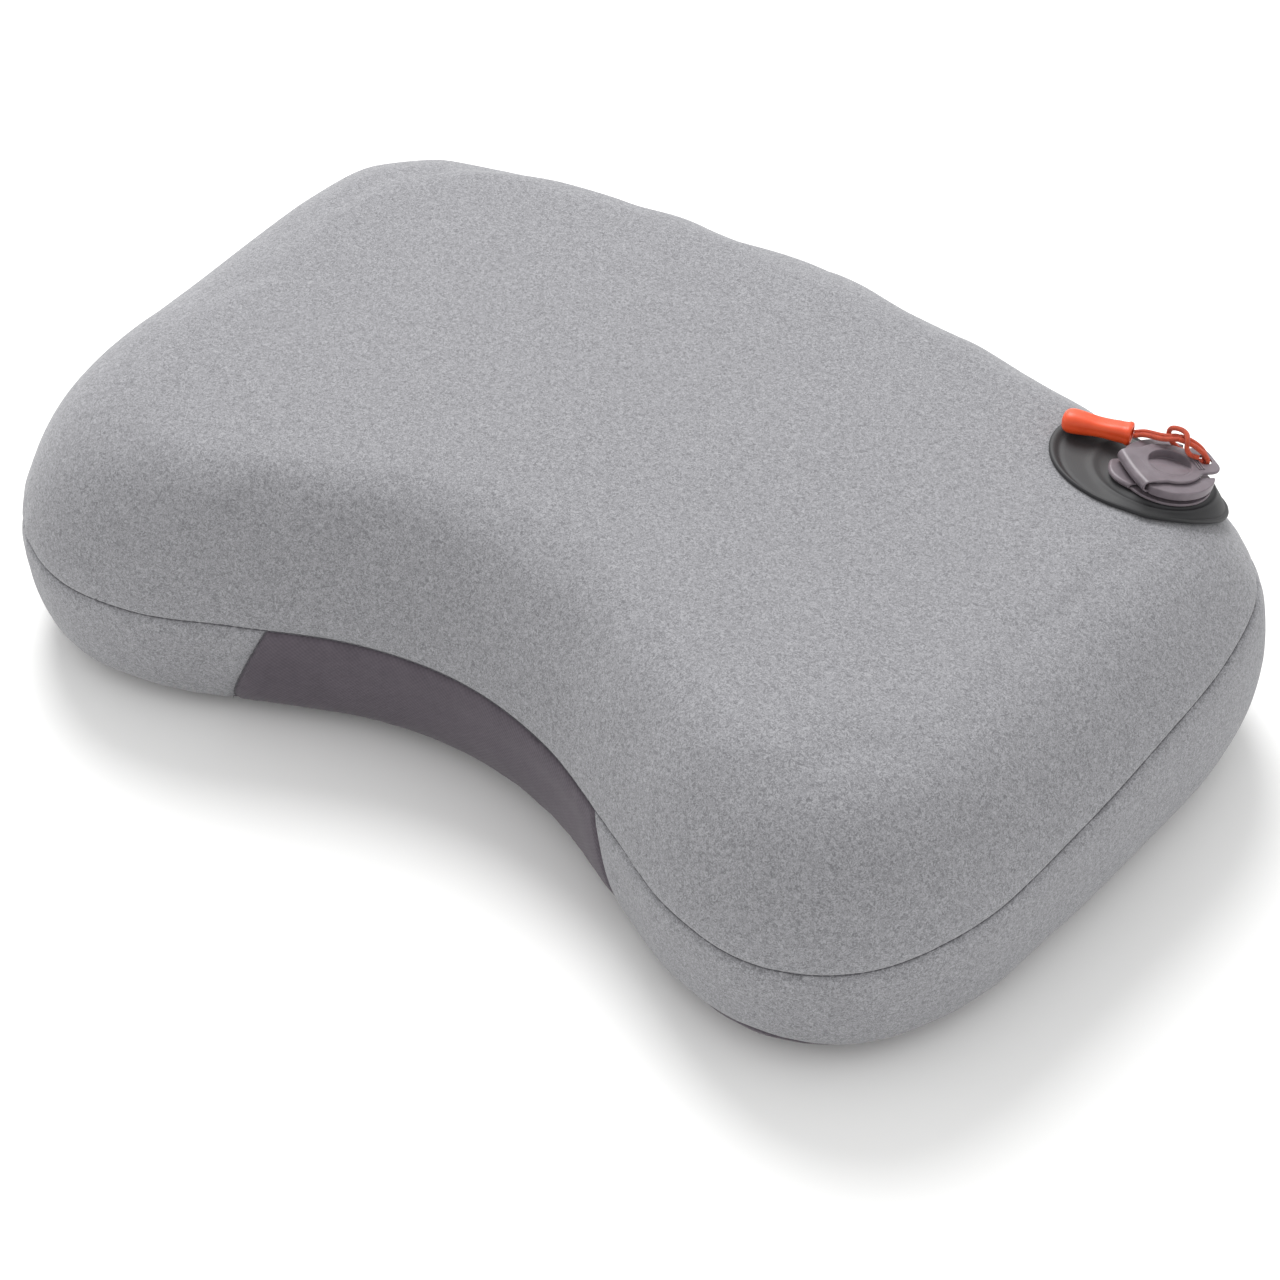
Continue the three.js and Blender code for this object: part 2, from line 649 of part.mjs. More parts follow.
// Routes in the valve's frame. Two strands leave the pull tab side by side, pass
// through the hitch and turn under the finger tab; the hitch loops round both. Each
// strand is in three stretches, because the cord flexes where it leaves the hitch:
// the end at the pull tab, a short bend, and the root that stays with the cap.
const mouth = new THREE.Vector3(-4.4, 19, 5.5);
const tail = new THREE.Vector3(-24, 34.8, 3.7);
const strandMiddle = [
  [-4, 18.7, 5.8],
  [-1.9, 16.9, 7.6],
  [2.4, 11.3, 9.9],
  [5.8, 6.8, 12.4],
  [9.4, 3.4, 12.2],
  [12.6, 1, 10.3],
  [14, 0, 8.4],
  [14.2, 0, 7.1],
];
const STRAND_SIDE = 1.12;
const strandSides = [0.55, 0.6, 0.6, 0.6, 0.5, 0.35, 0.1, 0];

function strandRoute(side) {
  return strandMiddle.map(([u, v, z], i) => [
    u + side * STRAND_SIDE * strandSides[i],
    v + side * STRAND_SIDE * Math.sqrt(1 - strandSides[i] ** 2),
    z,
  ]);
}

const hitchRoute = [
  [12.2, 0, 7.4],
  [12.1, 0.3, 6.1],
  [12, 2.4, 4.8],
  [12, 5.8, 4.7],
  [12, 8.6, 5.7],
  [11.2, 9.8, 8.4],
  [9.2, 9.9, 11.4],
  [7.4, 8.8, 14.4],
  [5.8, 6.7, 15.7],
  [4.4, 4.6, 14.2],
  [4.6, 3.3, 11.6],
  [6.6, 2.1, 9.6],
  [9, 0.8, 8.9],
  [10.8, -0.5, 8.9],
];

const turnRoute = [
  [14.2, 1.12, 6.7],
  [14.1, 1.05, 5.6],
  [13.9, 0, 4.9],
  [14.1, -1.05, 5.6],
  [14.2, -1.12, 6.7],
];

const STRAND_STRETCHES = { end: [0, 0.49, 6], bend: [0.5, 0.58, 2], root: [0.59, 1, 5] };

function cordPath(route) {
  return new THREE.CatmullRomCurve3(route.map((p) => new THREE.Vector3(...p)), false, 'centripetal');
}

function cordTube(path, steps) {
  const sides = 8;
  const crossSection = new THREE.Shape(
    Array.from({ length: sides }, (_, i) => new THREE.Vector2(
      CORD_R * Math.cos(i * 2 * Math.PI / sides),
      CORD_R * Math.sin(i * 2 * Math.PI / sides)
    ))
  );
  return new THREE.ExtrudeGeometry(crossSection, { steps, extrudePath: path, curveSegments: 1 });
}
for (const [strand, side] of [['near', -1], ['far', 1]]) {
  const whole = cordPath(strandRoute(side));
  for (const [stretch, [from, to, steps]] of Object.entries(STRAND_STRETCHES)) {
    const points = spread(from, to, 2 * steps).map((share) => whole.getPointAt(share));
    const tube = cordTube(cordPath(points.map((p) => p.toArray())), steps);
    addTo(valve, `pull_cord_${stretch}_${strand}`, tube, cordFinish);
  }
}
addTo(valve, 'pull_cord_turn', cordTube(cordPath(turnRoute), 6), cordFinish);
addTo(valve, 'pull_cord_hitch', cordTube(cordPath(hitchRoute), 20), cordFinish);

// Moulded pull tab: round in section, flattened, fuller at its tail.
function pullTab() {
  const length = tail.distanceTo(mouth);
  const profile = [
    [0, 0],
    [3.3, 0],
    [4, 0.8],
    [3.9, 4],
    [3.7, 9],
    [4, 15],
    [4.6, length - 5],
    [4.4, length - 2.2],
    [3, length - 0.5],
    [0, length],
  ];
  const geometry = new THREE.LatheGeometry(profile.map(([r, y]) => new THREE.Vector2(r, y)), 20);
  geometry.scale(1, 1, 0.85);
  const along = tail.clone().sub(mouth).normalize();
  const across = new THREE.Vector3(0, 0, 1).cross(along).normalize();
  const thin = new THREE.Vector3().crossVectors(across, along);
  geometry.applyMatrix4(new THREE.Matrix4().makeBasis(across, along, thin));
  geometry.translate(mouth.x, mouth.y, mouth.z);
  return geometry;
}
addTo(valve, 'pull_tab', pullTab(), tabFinish);

export default group;
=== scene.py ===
import json
import math

import bmesh
import bpy
from mathutils import Matrix, Vector, noise
from mathutils.bvhtree import BVHTree
from mathutils.kdtree import KDTree


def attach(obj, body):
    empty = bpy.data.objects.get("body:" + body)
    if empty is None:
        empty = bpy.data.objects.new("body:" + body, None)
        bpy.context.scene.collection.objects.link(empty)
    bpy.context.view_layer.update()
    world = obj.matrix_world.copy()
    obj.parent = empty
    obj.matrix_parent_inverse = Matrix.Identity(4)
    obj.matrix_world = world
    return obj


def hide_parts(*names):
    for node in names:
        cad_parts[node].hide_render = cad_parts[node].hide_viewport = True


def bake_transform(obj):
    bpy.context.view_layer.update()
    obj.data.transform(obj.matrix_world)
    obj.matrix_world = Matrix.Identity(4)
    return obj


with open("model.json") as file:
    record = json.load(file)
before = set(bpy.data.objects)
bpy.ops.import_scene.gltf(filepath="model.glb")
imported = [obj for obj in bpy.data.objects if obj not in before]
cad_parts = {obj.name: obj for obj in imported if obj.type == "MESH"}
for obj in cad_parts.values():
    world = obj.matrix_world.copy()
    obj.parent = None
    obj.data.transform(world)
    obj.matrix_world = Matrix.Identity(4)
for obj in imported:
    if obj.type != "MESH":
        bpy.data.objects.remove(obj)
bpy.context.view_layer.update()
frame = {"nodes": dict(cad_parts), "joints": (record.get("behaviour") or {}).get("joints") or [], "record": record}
scene = bpy.context.scene

MM = 0.001
TURN = 2 * math.pi

# ---------------------------------------------------------------- camera

CAMERA_AT = Vector((0.5243, -0.6926, 0.7851))
CAMERA_AIM = Vector((0.0215, -0.0287, 0.0287))
CAMERA_LENS = 88.3  # focal length in millimetres, on a sensor 36 mm wide


def set_camera():
    camera = bpy.data.objects.new("camera", bpy.data.cameras.new("camera"))
    camera.data.lens = CAMERA_LENS
    camera.data.sensor_width = 36
    camera.location = CAMERA_AT
    camera.rotation_euler = (CAMERA_AIM - CAMERA_AT).to_track_quat("-Z", "Y").to_euler()
    scene.collection.objects.link(camera)
    scene.camera = camera


set_camera()

# ---------------------------------------------------------------- lines and outlines


def length_of(points):
    return sum((b - a).length for a, b in zip(points, points[1:]))


def evenly(points, spacing, closed):
    """The same line with points about that far apart."""
    line = points + points[:1] if closed else points
    total = length_of(line)
    count = max(2, round(total / spacing))
    result, walked, index = [], 0.0, 0
    for k in range(count if closed else count + 1):
        target = min(total * k / count, total * 0.9999999)
        step = (line[index + 1] - line[index]).length
        while walked + step < target:
            walked += step
            index += 1
            step = (line[index + 1] - line[index]).length
        result.append(line[index].lerp(line[index + 1], (target - walked) / step))
    return result


def smooth_line(points, closed, spacing):
    """A centripetal Catmull-Rom curve through the points."""
    count = len(points)
    if closed:
        around = [points[-1]] + points + points[:2]
    else:
        around = [2 * points[0] - points[1]] + points + [2 * points[-1] - points[-2]]
    dense = []
    for i in range(count if closed else count - 1):
        p0, p1, p2, p3 = around[i:i + 4]
        d0, d1, d2 = (math.sqrt((b - a).length) for a, b in ((p0, p1), (p1, p2), (p2, p3)))
        leave = ((p1 - p0) / d0 - (p2 - p0) / (d0 + d1) + (p2 - p1) / d1) * d1
        arrive = ((p2 - p1) / d1 - (p3 - p1) / (d1 + d2) + (p3 - p2) / d2) * d1
        for k in range(24):
            t = k / 24
            dense.append(
                p1 + leave * t
                + (3 * (p2 - p1) - 2 * leave - arrive) * t ** 2
                + (2 * (p1 - p2) + leave + arrive) * t ** 3
            )
    if not closed:
        dense.append(points[-1].copy())
    return evenly(dense, spacing, closed)


def soften(points, passes):
    """Rounds the corners of a closed outline."""
    for _ in range(passes):
        before = points[-1:] + points[:-1]
        after = points[1:] + points[:1]
        points = [(a + 2 * p + b) / 4 for a, p, b in zip(before, points, after)]
    return points


def arc(radius, first, last, steps=24, middle=(0, 0)):
    """Points along an arc, from the first angle to the last, in degrees."""
    angles = [math.radians(first + (last - first) * k / steps) for k in range(steps + 1)]
    return [Vector((middle[0] + radius * math.cos(a), middle[1] + radius * math.sin(a), 0)) for a in angles]


# ---------------------------------------------------------------- valve's own frame

joints = {joint["name"]: joint for joint in frame["joints"]}
FLAP_FOLD_U = -17.3  # the flap's hinge axis in the valve's frame, in millimetres
FLAP_FOLD_Z = 1.5
VALVE_FLAT = 15.5 * MM  # how far out the fabric lies in the valve's plane
VALVE_DRAPE = 26 * MM  # how far out it is back in its own shape
VALVE_REACH = 20 * MM  # fabric further below the valve than this is another side of the pillow
valve_w = Vector(joints["cord_end_turn"]["axis"]).normalized()
valve_v = -Vector(joints["flap_open"]["axis"]).normalized()
valve_u = valve_v.cross(valve_w).normalized()
valve_v = valve_w.cross(valve_u)
valve_at = Vector(joints["flap_open"]["pos_m"]) - FLAP_FOLD_U * MM * valve_u - FLAP_FOLD_Z * MM * valve_w
valve = Matrix.Translation(valve_at) @ Matrix((valve_u, valve_v, valve_w)).transposed().to_4x4()
to_valve = valve.inverted()


def valve_point(u, v, z):
    return valve @ (Vector((u, v, z)) * MM)


# ---------------------------------------------------------------- materials


def linear(colour):
    """An sRGB hex colour as linear red, green and blue with alpha."""
    parts = [int(colour[i:i + 2], 16) / 255 for i in (1, 3, 5)]
    return (*(p / 12.92 if p <= 0.04045 else ((p + 0.055) / 1.055) ** 2.4 for p in parts), 1)


def node(tree, kind, settings=None, ramp=(), **inputs):
    """Adds one node, with its settings, the stops of its colour ramp, its input values and its links."""
    made = tree.nodes.new(kind)
    for key, value in (settings or {}).items():
        setattr(made, key, value)
    for index, (position, colour) in enumerate(ramp):
        made.color_ramp.elements[index].position = position
        made.color_ramp.elements[index].color = linear(colour)
    for key, value in inputs.items():
        socket = made.inputs[int(key[1:])] if key[1:].isdigit() else made.inputs[key.replace("_", " ")]
        if isinstance(value, bpy.types.Node):
            value = value.outputs[0]
        if isinstance(value, bpy.types.NodeSocket):
            tree.links.new(value, socket)
        else:
            socket.default_value = value
    return made


def new_material(name):
    material = bpy.data.materials.new(name)
    material.use_nodes = True
    material.node_tree.nodes.clear()
    return material, material.node_tree


def brushed_knit():
    """Polyester knit with a brushed nap: soft grey, mottled where the nap lies over in clumps."""
    material, tree = new_material("brushed_polyester_knit")
    place = node(tree, "ShaderNodeTexCoord").outputs["Object"]
    clumps = node(tree, "ShaderNodeTexNoise", Vector=place, Scale=1 / (2.4 * MM), Detail=3, Roughness=0.65)
    # Real fibres are finer; they are drawn 0.95 mm across so that they show, and curl into hooks.
    fibres = node(
        tree, "ShaderNodeTexNoise", Vector=place, Scale=1 / (0.95 * MM), Detail=2, Roughness=0.6,
        Distortion=1.6,
    )
    drift = node(tree, "ShaderNodeTexNoise", Vector=place, Scale=1 / (60 * MM), Detail=2)
    base = node(tree, "ShaderNodeValToRGB", ramp=[(0.34, "#828285"), (0.68, "#97979a")], Fac=clumps)
    fine = node(tree, "ShaderNodeValToRGB", ramp=[(0.36, "#68686b"), (0.64, "#adadb0")], Fac=fibres)
    wide = node(tree, "ShaderNodeValToRGB", ramp=[(0.3, "#7c7c7f"), (0.7, "#858588")], Fac=drift)
    mixed = node(tree, "ShaderNodeMix", {"data_type": "RGBA"}, Factor=0.62, _6=base, _7=fine).outputs[2]
    colour = node(
        tree, "ShaderNodeMix", {"data_type": "RGBA", "blend_type": "SOFT_LIGHT"},
        Factor=0.25, _6=mixed, _7=wide,
    ).outputs[2]
    lumps = node(tree, "ShaderNodeMath", {"operation": "MULTIPLY"}, _0=clumps, _1=0.6)
    height = node(tree, "ShaderNodeMath", {"operation": "MULTIPLY_ADD"}, _0=fibres, _1=0.5, _2=lumps)
    bump = node(tree, "ShaderNodeBump", Strength=0.55, Distance=0.5 * MM, Height=height)
    shader = node(
        tree, "ShaderNodeBsdfPrincipled", Base_Color=colour, Roughness=0.95, Normal=bump,
        Sheen_Weight=0.18, Sheen_Roughness=0.45, Specular_IOR_Level=0.2,
    )
    node(tree, "ShaderNodeOutputMaterial", Surface=shader)
    return material


def plain_weave():
    """Plain-woven polyester, dark grey with a mauve cast: a fine square grain of crossing yarns."""
    material, tree = new_material("plain_woven_polyester")
    place = node(tree, "ShaderNodeTexCoord").outputs
    yarn = 0.9 * MM  # real yarns are 0.4 mm apart; drawn coarser so that they show
    across = node(tree, "ShaderNodeSeparateXYZ", Vector=place["UV"]).outputs
    waves = []
    for index in (0, 1):
        turns = node(tree, "ShaderNodeMath", {"operation": "MULTIPLY"}, _0=across[index], _1=math.pi / yarn)
        waves.append(node(tree, "ShaderNodeMath", {"operation": "SINE"}, _0=turns))
    checks = node(tree, "ShaderNodeMath", {"operation": "MULTIPLY"}, _0=waves[0], _1=waves[1])
    crossing = node(tree, "ShaderNodeMath", {"operation": "MULTIPLY_ADD"}, _0=checks, _1=0.5, _2=0.5)
    uneven = node(
        tree, "ShaderNodeTexNoise", Vector=place["Object"], Scale=1 / (3 * MM), Detail=3, Roughness=0.6
    )
    slubs = node(tree, "ShaderNodeTexNoise", Vector=place["Object"], Scale=1 / (22 * MM), Detail=3)
    half = node(tree, "ShaderNodeMath", {"operation": "MULTIPLY"}, _0=uneven, _1=0.5)
    wear = node(tree, "ShaderNodeMath", {"operation": "MULTIPLY_ADD"}, _0=slubs, _1=0.5, _2=half)
    yarns = node(tree, "ShaderNodeValToRGB", ramp=[(0.15, "#443d45"), (0.85, "#524b53")], Fac=crossing)
    worn = node(tree, "ShaderNodeValToRGB", ramp=[(0.36, "#413a42"), (0.66, "#544c54")], Fac=wear)
    colour = node(tree, "ShaderNodeMix", {"data_type": "RGBA"}, Factor=0.5, _6=yarns, _7=worn).outputs[2]
    height = node(tree, "ShaderNodeMath", {"operation": "MULTIPLY_ADD"}, _0=uneven, _1=0.6, _2=crossing)
    bump = node(tree, "ShaderNodeBump", Strength=0.5, Distance=0.18 * MM, Height=height)
    shader = node(
        tree, "ShaderNodeBsdfPrincipled", Base_Color=colour, Roughness=0.72, Normal=bump,
        Sheen_Weight=0.12, Sheen_Roughness=0.5, Specular_IOR_Level=0.35,
    )
    node(tree, "ShaderNodeOutputMaterial", Surface=shader)
    return material


def sewing_thread():
    """Twisted polyester sewing thread, dark grey: dull, with a fine broken grain where its plies turn."""
    material, tree = new_material("sewing_thread")
    place = node(tree, "ShaderNodeTexCoord").outputs["Object"]
    plies = node(tree, "ShaderNodeTexNoise", Vector=place, Scale=1 / (0.8 * MM), Detail=2)
    colour = node(tree, "ShaderNodeValToRGB", ramp=[(0.35, "#3a393d"), (0.65, "#4e4d52")], Fac=plies)
    bump = node(tree, "ShaderNodeBump", Strength=0.5, Distance=0.15 * MM, Height=plies)
    shader = node(
        tree, "ShaderNodeBsdfPrincipled", Base_Color=colour, Roughness=0.7, Normal=bump, Sheen_Weight=0.1
    )
    node(tree, "ShaderNodeOutputMaterial", Surface=shader)
    return material


def coated_film():
    """Polyurethane-coated nylon film of the air bladder: pale, slightly glossy, with faint creases."""
    material, tree = new_material("coated_film")
    place = node(tree, "ShaderNodeTexCoord").outputs["Object"]
    creases = node(tree, "ShaderNodeTexNoise", Vector=place, Scale=1 / (14 * MM), Detail=3)
    colour = node(tree, "ShaderNodeValToRGB", ramp=[(0.35, "#b3b6bc"), (0.65, "#c4c7cc")], Fac=creases)
    bump = node(tree, "ShaderNodeBump", Strength=0.3, Distance=0.5 * MM, Height=creases)
    shader = node(tree, "ShaderNodeBsdfPrincipled", Base_Color=colour, Roughness=0.42, Normal=bump)
    node(tree, "ShaderNodeOutputMaterial", Surface=shader)
    return material


def matt_patch():
    """Matt black coated backing patch: welded on, with a fine rubbery grain and a dusty bloom."""
    material, tree = new_material("matt_black_patch")
    place = node(tree, "ShaderNodeTexCoord").outputs["Object"]
    grain = node(tree, "ShaderNodeTexNoise", Vector=place, Scale=1 / (0.6 * MM), Detail=2)
    bloom = node(tree, "ShaderNodeTexNoise", Vector=place, Scale=1 / (9 * MM), Detail=4, Roughness=0.6)
    colour = node(tree, "ShaderNodeValToRGB", ramp=[(0.35, "#232324"), (0.7, "#2b2b2d")], Fac=bloom)
    rough = node(tree, "ShaderNodeMapRange", Value=bloom, To_Min=0.52, To_Max=0.7)
    bump = node(tree, "ShaderNodeBump", Strength=0.25, Distance=0.12 * MM, Height=grain)
    shader = node(tree, "ShaderNodeBsdfPrincipled", Base_Color=colour, Roughness=rough, Normal=bump)
    node(tree, "ShaderNodeOutputMaterial", Surface=shader)
    return material


def satin_tpu():
    """Moulded thermoplastic polyurethane, mauve grey: satin, a little translucent, faintly cloudy."""
    material, tree = new_material("moulded_tpu")
    place = node(tree, "ShaderNodeTexCoord").outputs["Object"]
    cloud = node(tree, "ShaderNodeTexNoise", Vector=place, Scale=1 / (6 * MM), Detail=3, Roughness=0.6)
    mould = node(tree, "ShaderNodeTexNoise", Vector=place, Scale=1 / (0.5 * MM), Detail=2)
    colour = node(tree, "ShaderNodeValToRGB", ramp=[(0.3, "#655c62"), (0.7, "#736a70")], Fac=cloud)
    rough = node(tree, "ShaderNodeMapRange", Value=cloud, To_Min=0.36, To_Max=0.48)
    bump = node(tree, "ShaderNodeBump", Strength=0.12, Distance=0.08 * MM, Height=mould)
    shader = node(
        tree, "ShaderNodeBsdfPrincipled", Base_Color=colour, Roughness=rough, Normal=bump,
        Subsurface_Weight=0.35, Subsurface_Radius=(1.0, 0.8, 0.8), Subsurface_Scale=1.2 * MM,
    )
    node(tree, "ShaderNodeOutputMaterial", Surface=shader)
    return material


def clear_silicone():
    """Clear silicone of the check membrane: milky, soft gloss."""
    material, tree = new_material("clear_silicone")
    place = node(tree, "ShaderNodeTexCoord").outputs["Object"]
    milk = node(tree, "ShaderNodeTexNoise", Vector=place, Scale=1 / (4 * MM), Detail=2)
    colour = node(tree, "ShaderNodeValToRGB", ramp=[(0.3, "#d9d8d4"), (0.7, "#e6e5e1")], Fac=milk)
    shader = node(
        tree, "ShaderNodeBsdfPrincipled", Base_Color=colour, Roughness=0.3, IOR=1.41, Transmission_Weight=0.4
    )
    node(tree, "ShaderNodeOutputMaterial", Surface=shader)
    return material


def braided_cord():
    """Braided polyester cord, orange red: crossing strands, with painted shade in the gaps between them."""
    material, tree = new_material("braided_cord")
    place = node(tree, "ShaderNodeTexCoord").outputs
    across = node(tree, "ShaderNodeSeparateXYZ", Vector=place["UV"]).outputs
    turns = node(tree, "ShaderNodeMath", {"operation": "MULTIPLY"}, _0=across[0], _1=4 * TURN)
    lay = node(tree, "ShaderNodeMath", {"operation": "MULTIPLY"}, _0=across[1], _1=TURN / (1.5 * MM))
    strands = []
    for way in ("ADD", "SUBTRACT"):
        angle = node(tree, "ShaderNodeMath", {"operation": way}, _0=turns, _1=lay)
        strands.append(node(tree, "ShaderNodeMath", {"operation": "SINE"}, _0=angle))
    height = node(tree, "ShaderNodeMath", {"operation": "MAXIMUM"}, _0=strands[0], _1=strands[1])
    fuzz = node(tree, "ShaderNodeTexNoise", Vector=place["Object"], Scale=1 / (0.5 * MM), Detail=2)
    # Painted shade: the colour is darker where the strands lie low, in the gaps between them, with the fuzz adding
    # tone at random.
    fuzz_and_gap_shade = node(tree, "ShaderNodeMath", {"operation": "MULTIPLY_ADD"}, _0=fuzz, _1=0.4, _2=height)
    colour = node(tree, "ShaderNodeValToRGB", ramp=[(0.1, "#c03c1c"), (0.95, "#e2542a")], Fac=fuzz_and_gap_shade)
    bump = node(tree, "ShaderNodeBump", Strength=0.8, Distance=0.18 * MM, Height=height)
    shader = node(
        tree, "ShaderNodeBsdfPrincipled", Base_Color=colour, Roughness=0.7, Normal=bump,
        Sheen_Weight=0.15, Sheen_Roughness=0.4,
    )
    node(tree, "ShaderNodeOutputMaterial", Surface=shader)
    return material


def moulded_tab():
    """Soft moulded plastic, orange red: matt from the mould, a little translucent at thin edges."""
    material, tree = new_material("moulded_soft_plastic")
    place = node(tree, "ShaderNodeTexCoord").outputs["Object"]
    flow = node(tree, "ShaderNodeTexNoise", Vector=place, Scale=1 / (7 * MM), Detail=3)
    grain = node(tree, "ShaderNodeTexNoise", Vector=place, Scale=1 / (0.45 * MM), Detail=2)
    colour = node(tree, "ShaderNodeValToRGB", ramp=[(0.3, "#d24416"), (0.7, "#dc4e20")], Fac=flow)
    bump = node(tree, "ShaderNodeBump", Strength=0.2, Distance=0.08 * MM, Height=grain)
    shader = node(
        tree, "ShaderNodeBsdfPrincipled", Base_Color=colour, Roughness=0.46, Normal=bump,
        Subsurface_Weight=0.2, Subsurface_Radius=(1.0, 0.35, 0.15), Subsurface_Scale=1.0 * MM,
    )
    node(tree, "ShaderNodeOutputMaterial", Surface=shader)
    return material


finishes = {
    "knit": brushed_knit(),
    "woven": plain_weave(),
    "thread": sewing_thread(),
    "film": coated_film(),
    "patch": matt_patch(),
    "valve": satin_tpu(),
    "membrane": clear_silicone(),
    "cord": braided_cord(),
    "pull_tab": moulded_tab(),
}

slots = {part["node"]: part["material_slot"] for part in frame["record"]["subparts"]}


def dress(piece, slot):
    piece.data.materials.clear()
    piece.data.materials.append(finishes[slot])


def add_piece(name, mesh, slot):
    piece = bpy.data.objects.new(name, mesh)
    scene.collection.objects.link(piece)
    dress(piece, slot)
    return piece


for name, carried in frame["nodes"].items():
    carried.data.materials.clear()
    carried.data.materials.append(finishes[slots[name]])

# ---------------------------------------------------------------- pull cord

CORD_DIAMETER = 1.8 * MM
CORD_STEP = 0.8 * MM

# Middle of the two strands, from the pull tab's mouth, over the hitch and down
# through the hole in the finger tab, in the valve's frame in millimetres.
STRAND_MIDDLE = [
    (-4.3, 18.9, 6.6),
    (-1.9, 16.9, 8.1),
    (2.4, 11.3, 9.9),
    (5.8, 6.8, 12.4),
    (9.4, 3.4, 12.2),
    (12.6, 1, 10.3),
    (14, 0, 8.4),
    (14.2, 0, 7.1),
]
STRAND_SIDE = 1.12  # how far each strand lies from that middle
STRAND_SIDES = [0.55, 0.6, 0.6, 0.6, 0.5, 0.35, 0.1, 0]  # share of it that is along u, the rest along v
BEND_SHARE = 0.56  # share of a strand's length at which the cord flexes
BEND_OVERLAP = 0.9 * MM  # how far each strand runs on into the bend there

# The turn under the finger tab.
TURN_ROUTE = [
    (14.1, 1.05, 5.6),
    (13.9, 0, 4.9),
    (14.1, -1.05, 5.6),
]

# The hitch, from the hole under the tab, up its edge and round both strands.
HITCH_ROUTE = [
    (12.2, 0, 7.4),
    (12.1, 0.3, 6.1),
    (12, 2.4, 4.8),
    (12, 5.8, 4.7),
    (10.8, 8.6, 5),
    (8.6, 10, 6),
    (6.4, 11.5, 7.8),
    (5.4, 12.8, 9.8),
    (4.9, 12.4, 12.2),
    (5, 10.6, 14.1),
    (6.2, 7.8, 15.2),
    (6.9, 5, 15.2),
    (6.5, 2.8, 13.6),
    (6.5, 1.9, 11.2),
    (7.6, 1.2, 9.5),
    (9.2, 0.5, 8.9),
    (10.8, -0.5, 8.9),
]


def strand(side):
    """One of the two strands, as points along its middle."""
    points = [
        valve_point(
            u + side * STRAND_SIDE * share,
            v + side * STRAND_SIDE * math.sqrt(1 - share ** 2),
            z,
        )
        for (u, v, z), share in zip(STRAND_MIDDLE, STRAND_SIDES)
    ]
    return smooth_line(points, False, CORD_STEP)


def tube(name, points, radius):
    """A round tube along the points; its UV map runs once round it, and along it in metres."""
    curve = bpy.data.curves.new(name, "CURVE")
    curve.dimensions = "3D"
    curve.twist_mode = "MINIMUM"
    curve.bevel_depth = radius
    curve.bevel_resolution = 6
    curve.use_fill_caps = True
    spline = curve.splines.new("POLY")
    spline.points.add(len(points) - 1)
    for knot, point in zip(spline.points, points):
        knot.co = (*point, 1)
    holder = bpy.data.objects.new(name, curve)
    mesh = bpy.data.meshes.new_from_object(holder)
    bpy.data.objects.remove(holder)
    total = length_of(points)
    for corner in mesh.uv_layers[0].data:
        corner.uv = (corner.uv[0], corner.uv[1] * total)
    mesh.name = name
    mesh.shade_smooth()
    return mesh


def add_cord(name, points, body, *nodes):
    """A stretch of the pull cord that rides on one body."""
    points = smooth_line(evenly(points, 2 * CORD_STEP, False), False, CORD_STEP)
    piece = add_piece(name, tube(name, points, CORD_DIAMETER / 2), "cord")
    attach(piece, body)
    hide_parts(*nodes)


def add_cords():
    strands = {side: strand(side) for side in (-1, 1)}
    split = round(BEND_SHARE * len(strands[1]))
    top = (strands[-1][split] + strands[1][split]) / 2
    onward = (strands[1][split + 1] - strands[1][split]).normalized() * BEND_OVERLAP
    ends = [*strands[-1][:split], top + onward, *reversed(strands[1][:split])]
    add_cord(
        "pull_cord_ends", ends, "cord_end",
        "pull_cord_end_near", "pull_cord_end_far", "pull_cord_bend_near", "pull_cord_bend_far",
    )
    turn = [valve_point(*point) for point in TURN_ROUTE]
    roots = [top - onward, *strands[1][split:], *turn, *reversed(strands[-1][split:])]
    add_cord(
        "pull_cord_roots", roots, "cap",
        "pull_cord_root_near", "pull_cord_root_far", "pull_cord_turn",
    )
    hitch = smooth_line([valve_point(*point) for point in HITCH_ROUTE], False, CORD_STEP)
    add_cord("pull_cord_loop", hitch, "cap", "pull_cord_hitch")


add_cords()

# ---------------------------------------------------------------- form of the pillow

HALF_LENGTH = 215 * MM
HALF_DEPTH = 145.5  # in millimetres, as the outline's points are
GIRTH_Z = 41.5 * MM  # height where the pillow is widest
SHOULDER_Z = 97.5 * MM  # height where the rounded top edge ends
HEIGHT = 100 * MM  # from the ground to the crown
SHOULDER_INSET = 45 * MM  # how far in from the outline the rounded top edge ends
SHOULDER_POWER = 1.9  # superellipse power of the rounded top edge
SKIRT_INSET = 28 * MM  # how far in the flat of the base starts
SKIRT_POWER = 2.6  # superellipse power of the rounded lower edge
CROWN_INSET = 70 * MM  # how far in the slow rise to the crown ends
RIDGE_HALF = 100 * MM  # half-length of the middle line that all sections face
RIDGE_Y = -5 * MM  # where that line lies
RIDGE_SPREAD = 0.75  # share of an outline point's X at which it faces the line

# Half of the outline seen from above, in millimetres, from the middle of the back
# edge round the right-hand end to the middle of the hollow in the front edge.
HALF_OUTLINE = [
    (0, HALF_DEPTH),
    (54, 143),
    (108, 135.5),
    (158, 124),
    (190, 109),
    (208, 87),
    (215, 54),
    (215, 10),
    (212, -42),
    (204, -95),
    (184, -130),
    (153, -HALF_DEPTH),
    (118, -142),
    (84, -127),
    (42, -109),
    (0, -102.5),
]

FORM_STEP = 5 * MM
VOXEL = 4.5 * MM
START_DEPTH = 3 * MM  # the cloth starts this far inside the finished form
SWELL_FRAMES = 20
SWELL_LIMIT = 8 * MM
SLACK = 0.9 * MM  # how far the cloth may end off the form
EASING = 8  # passes that smooth that distance from point to point
PLUMP = 1.5 * MM  # how far the air pushes the sides out past the form

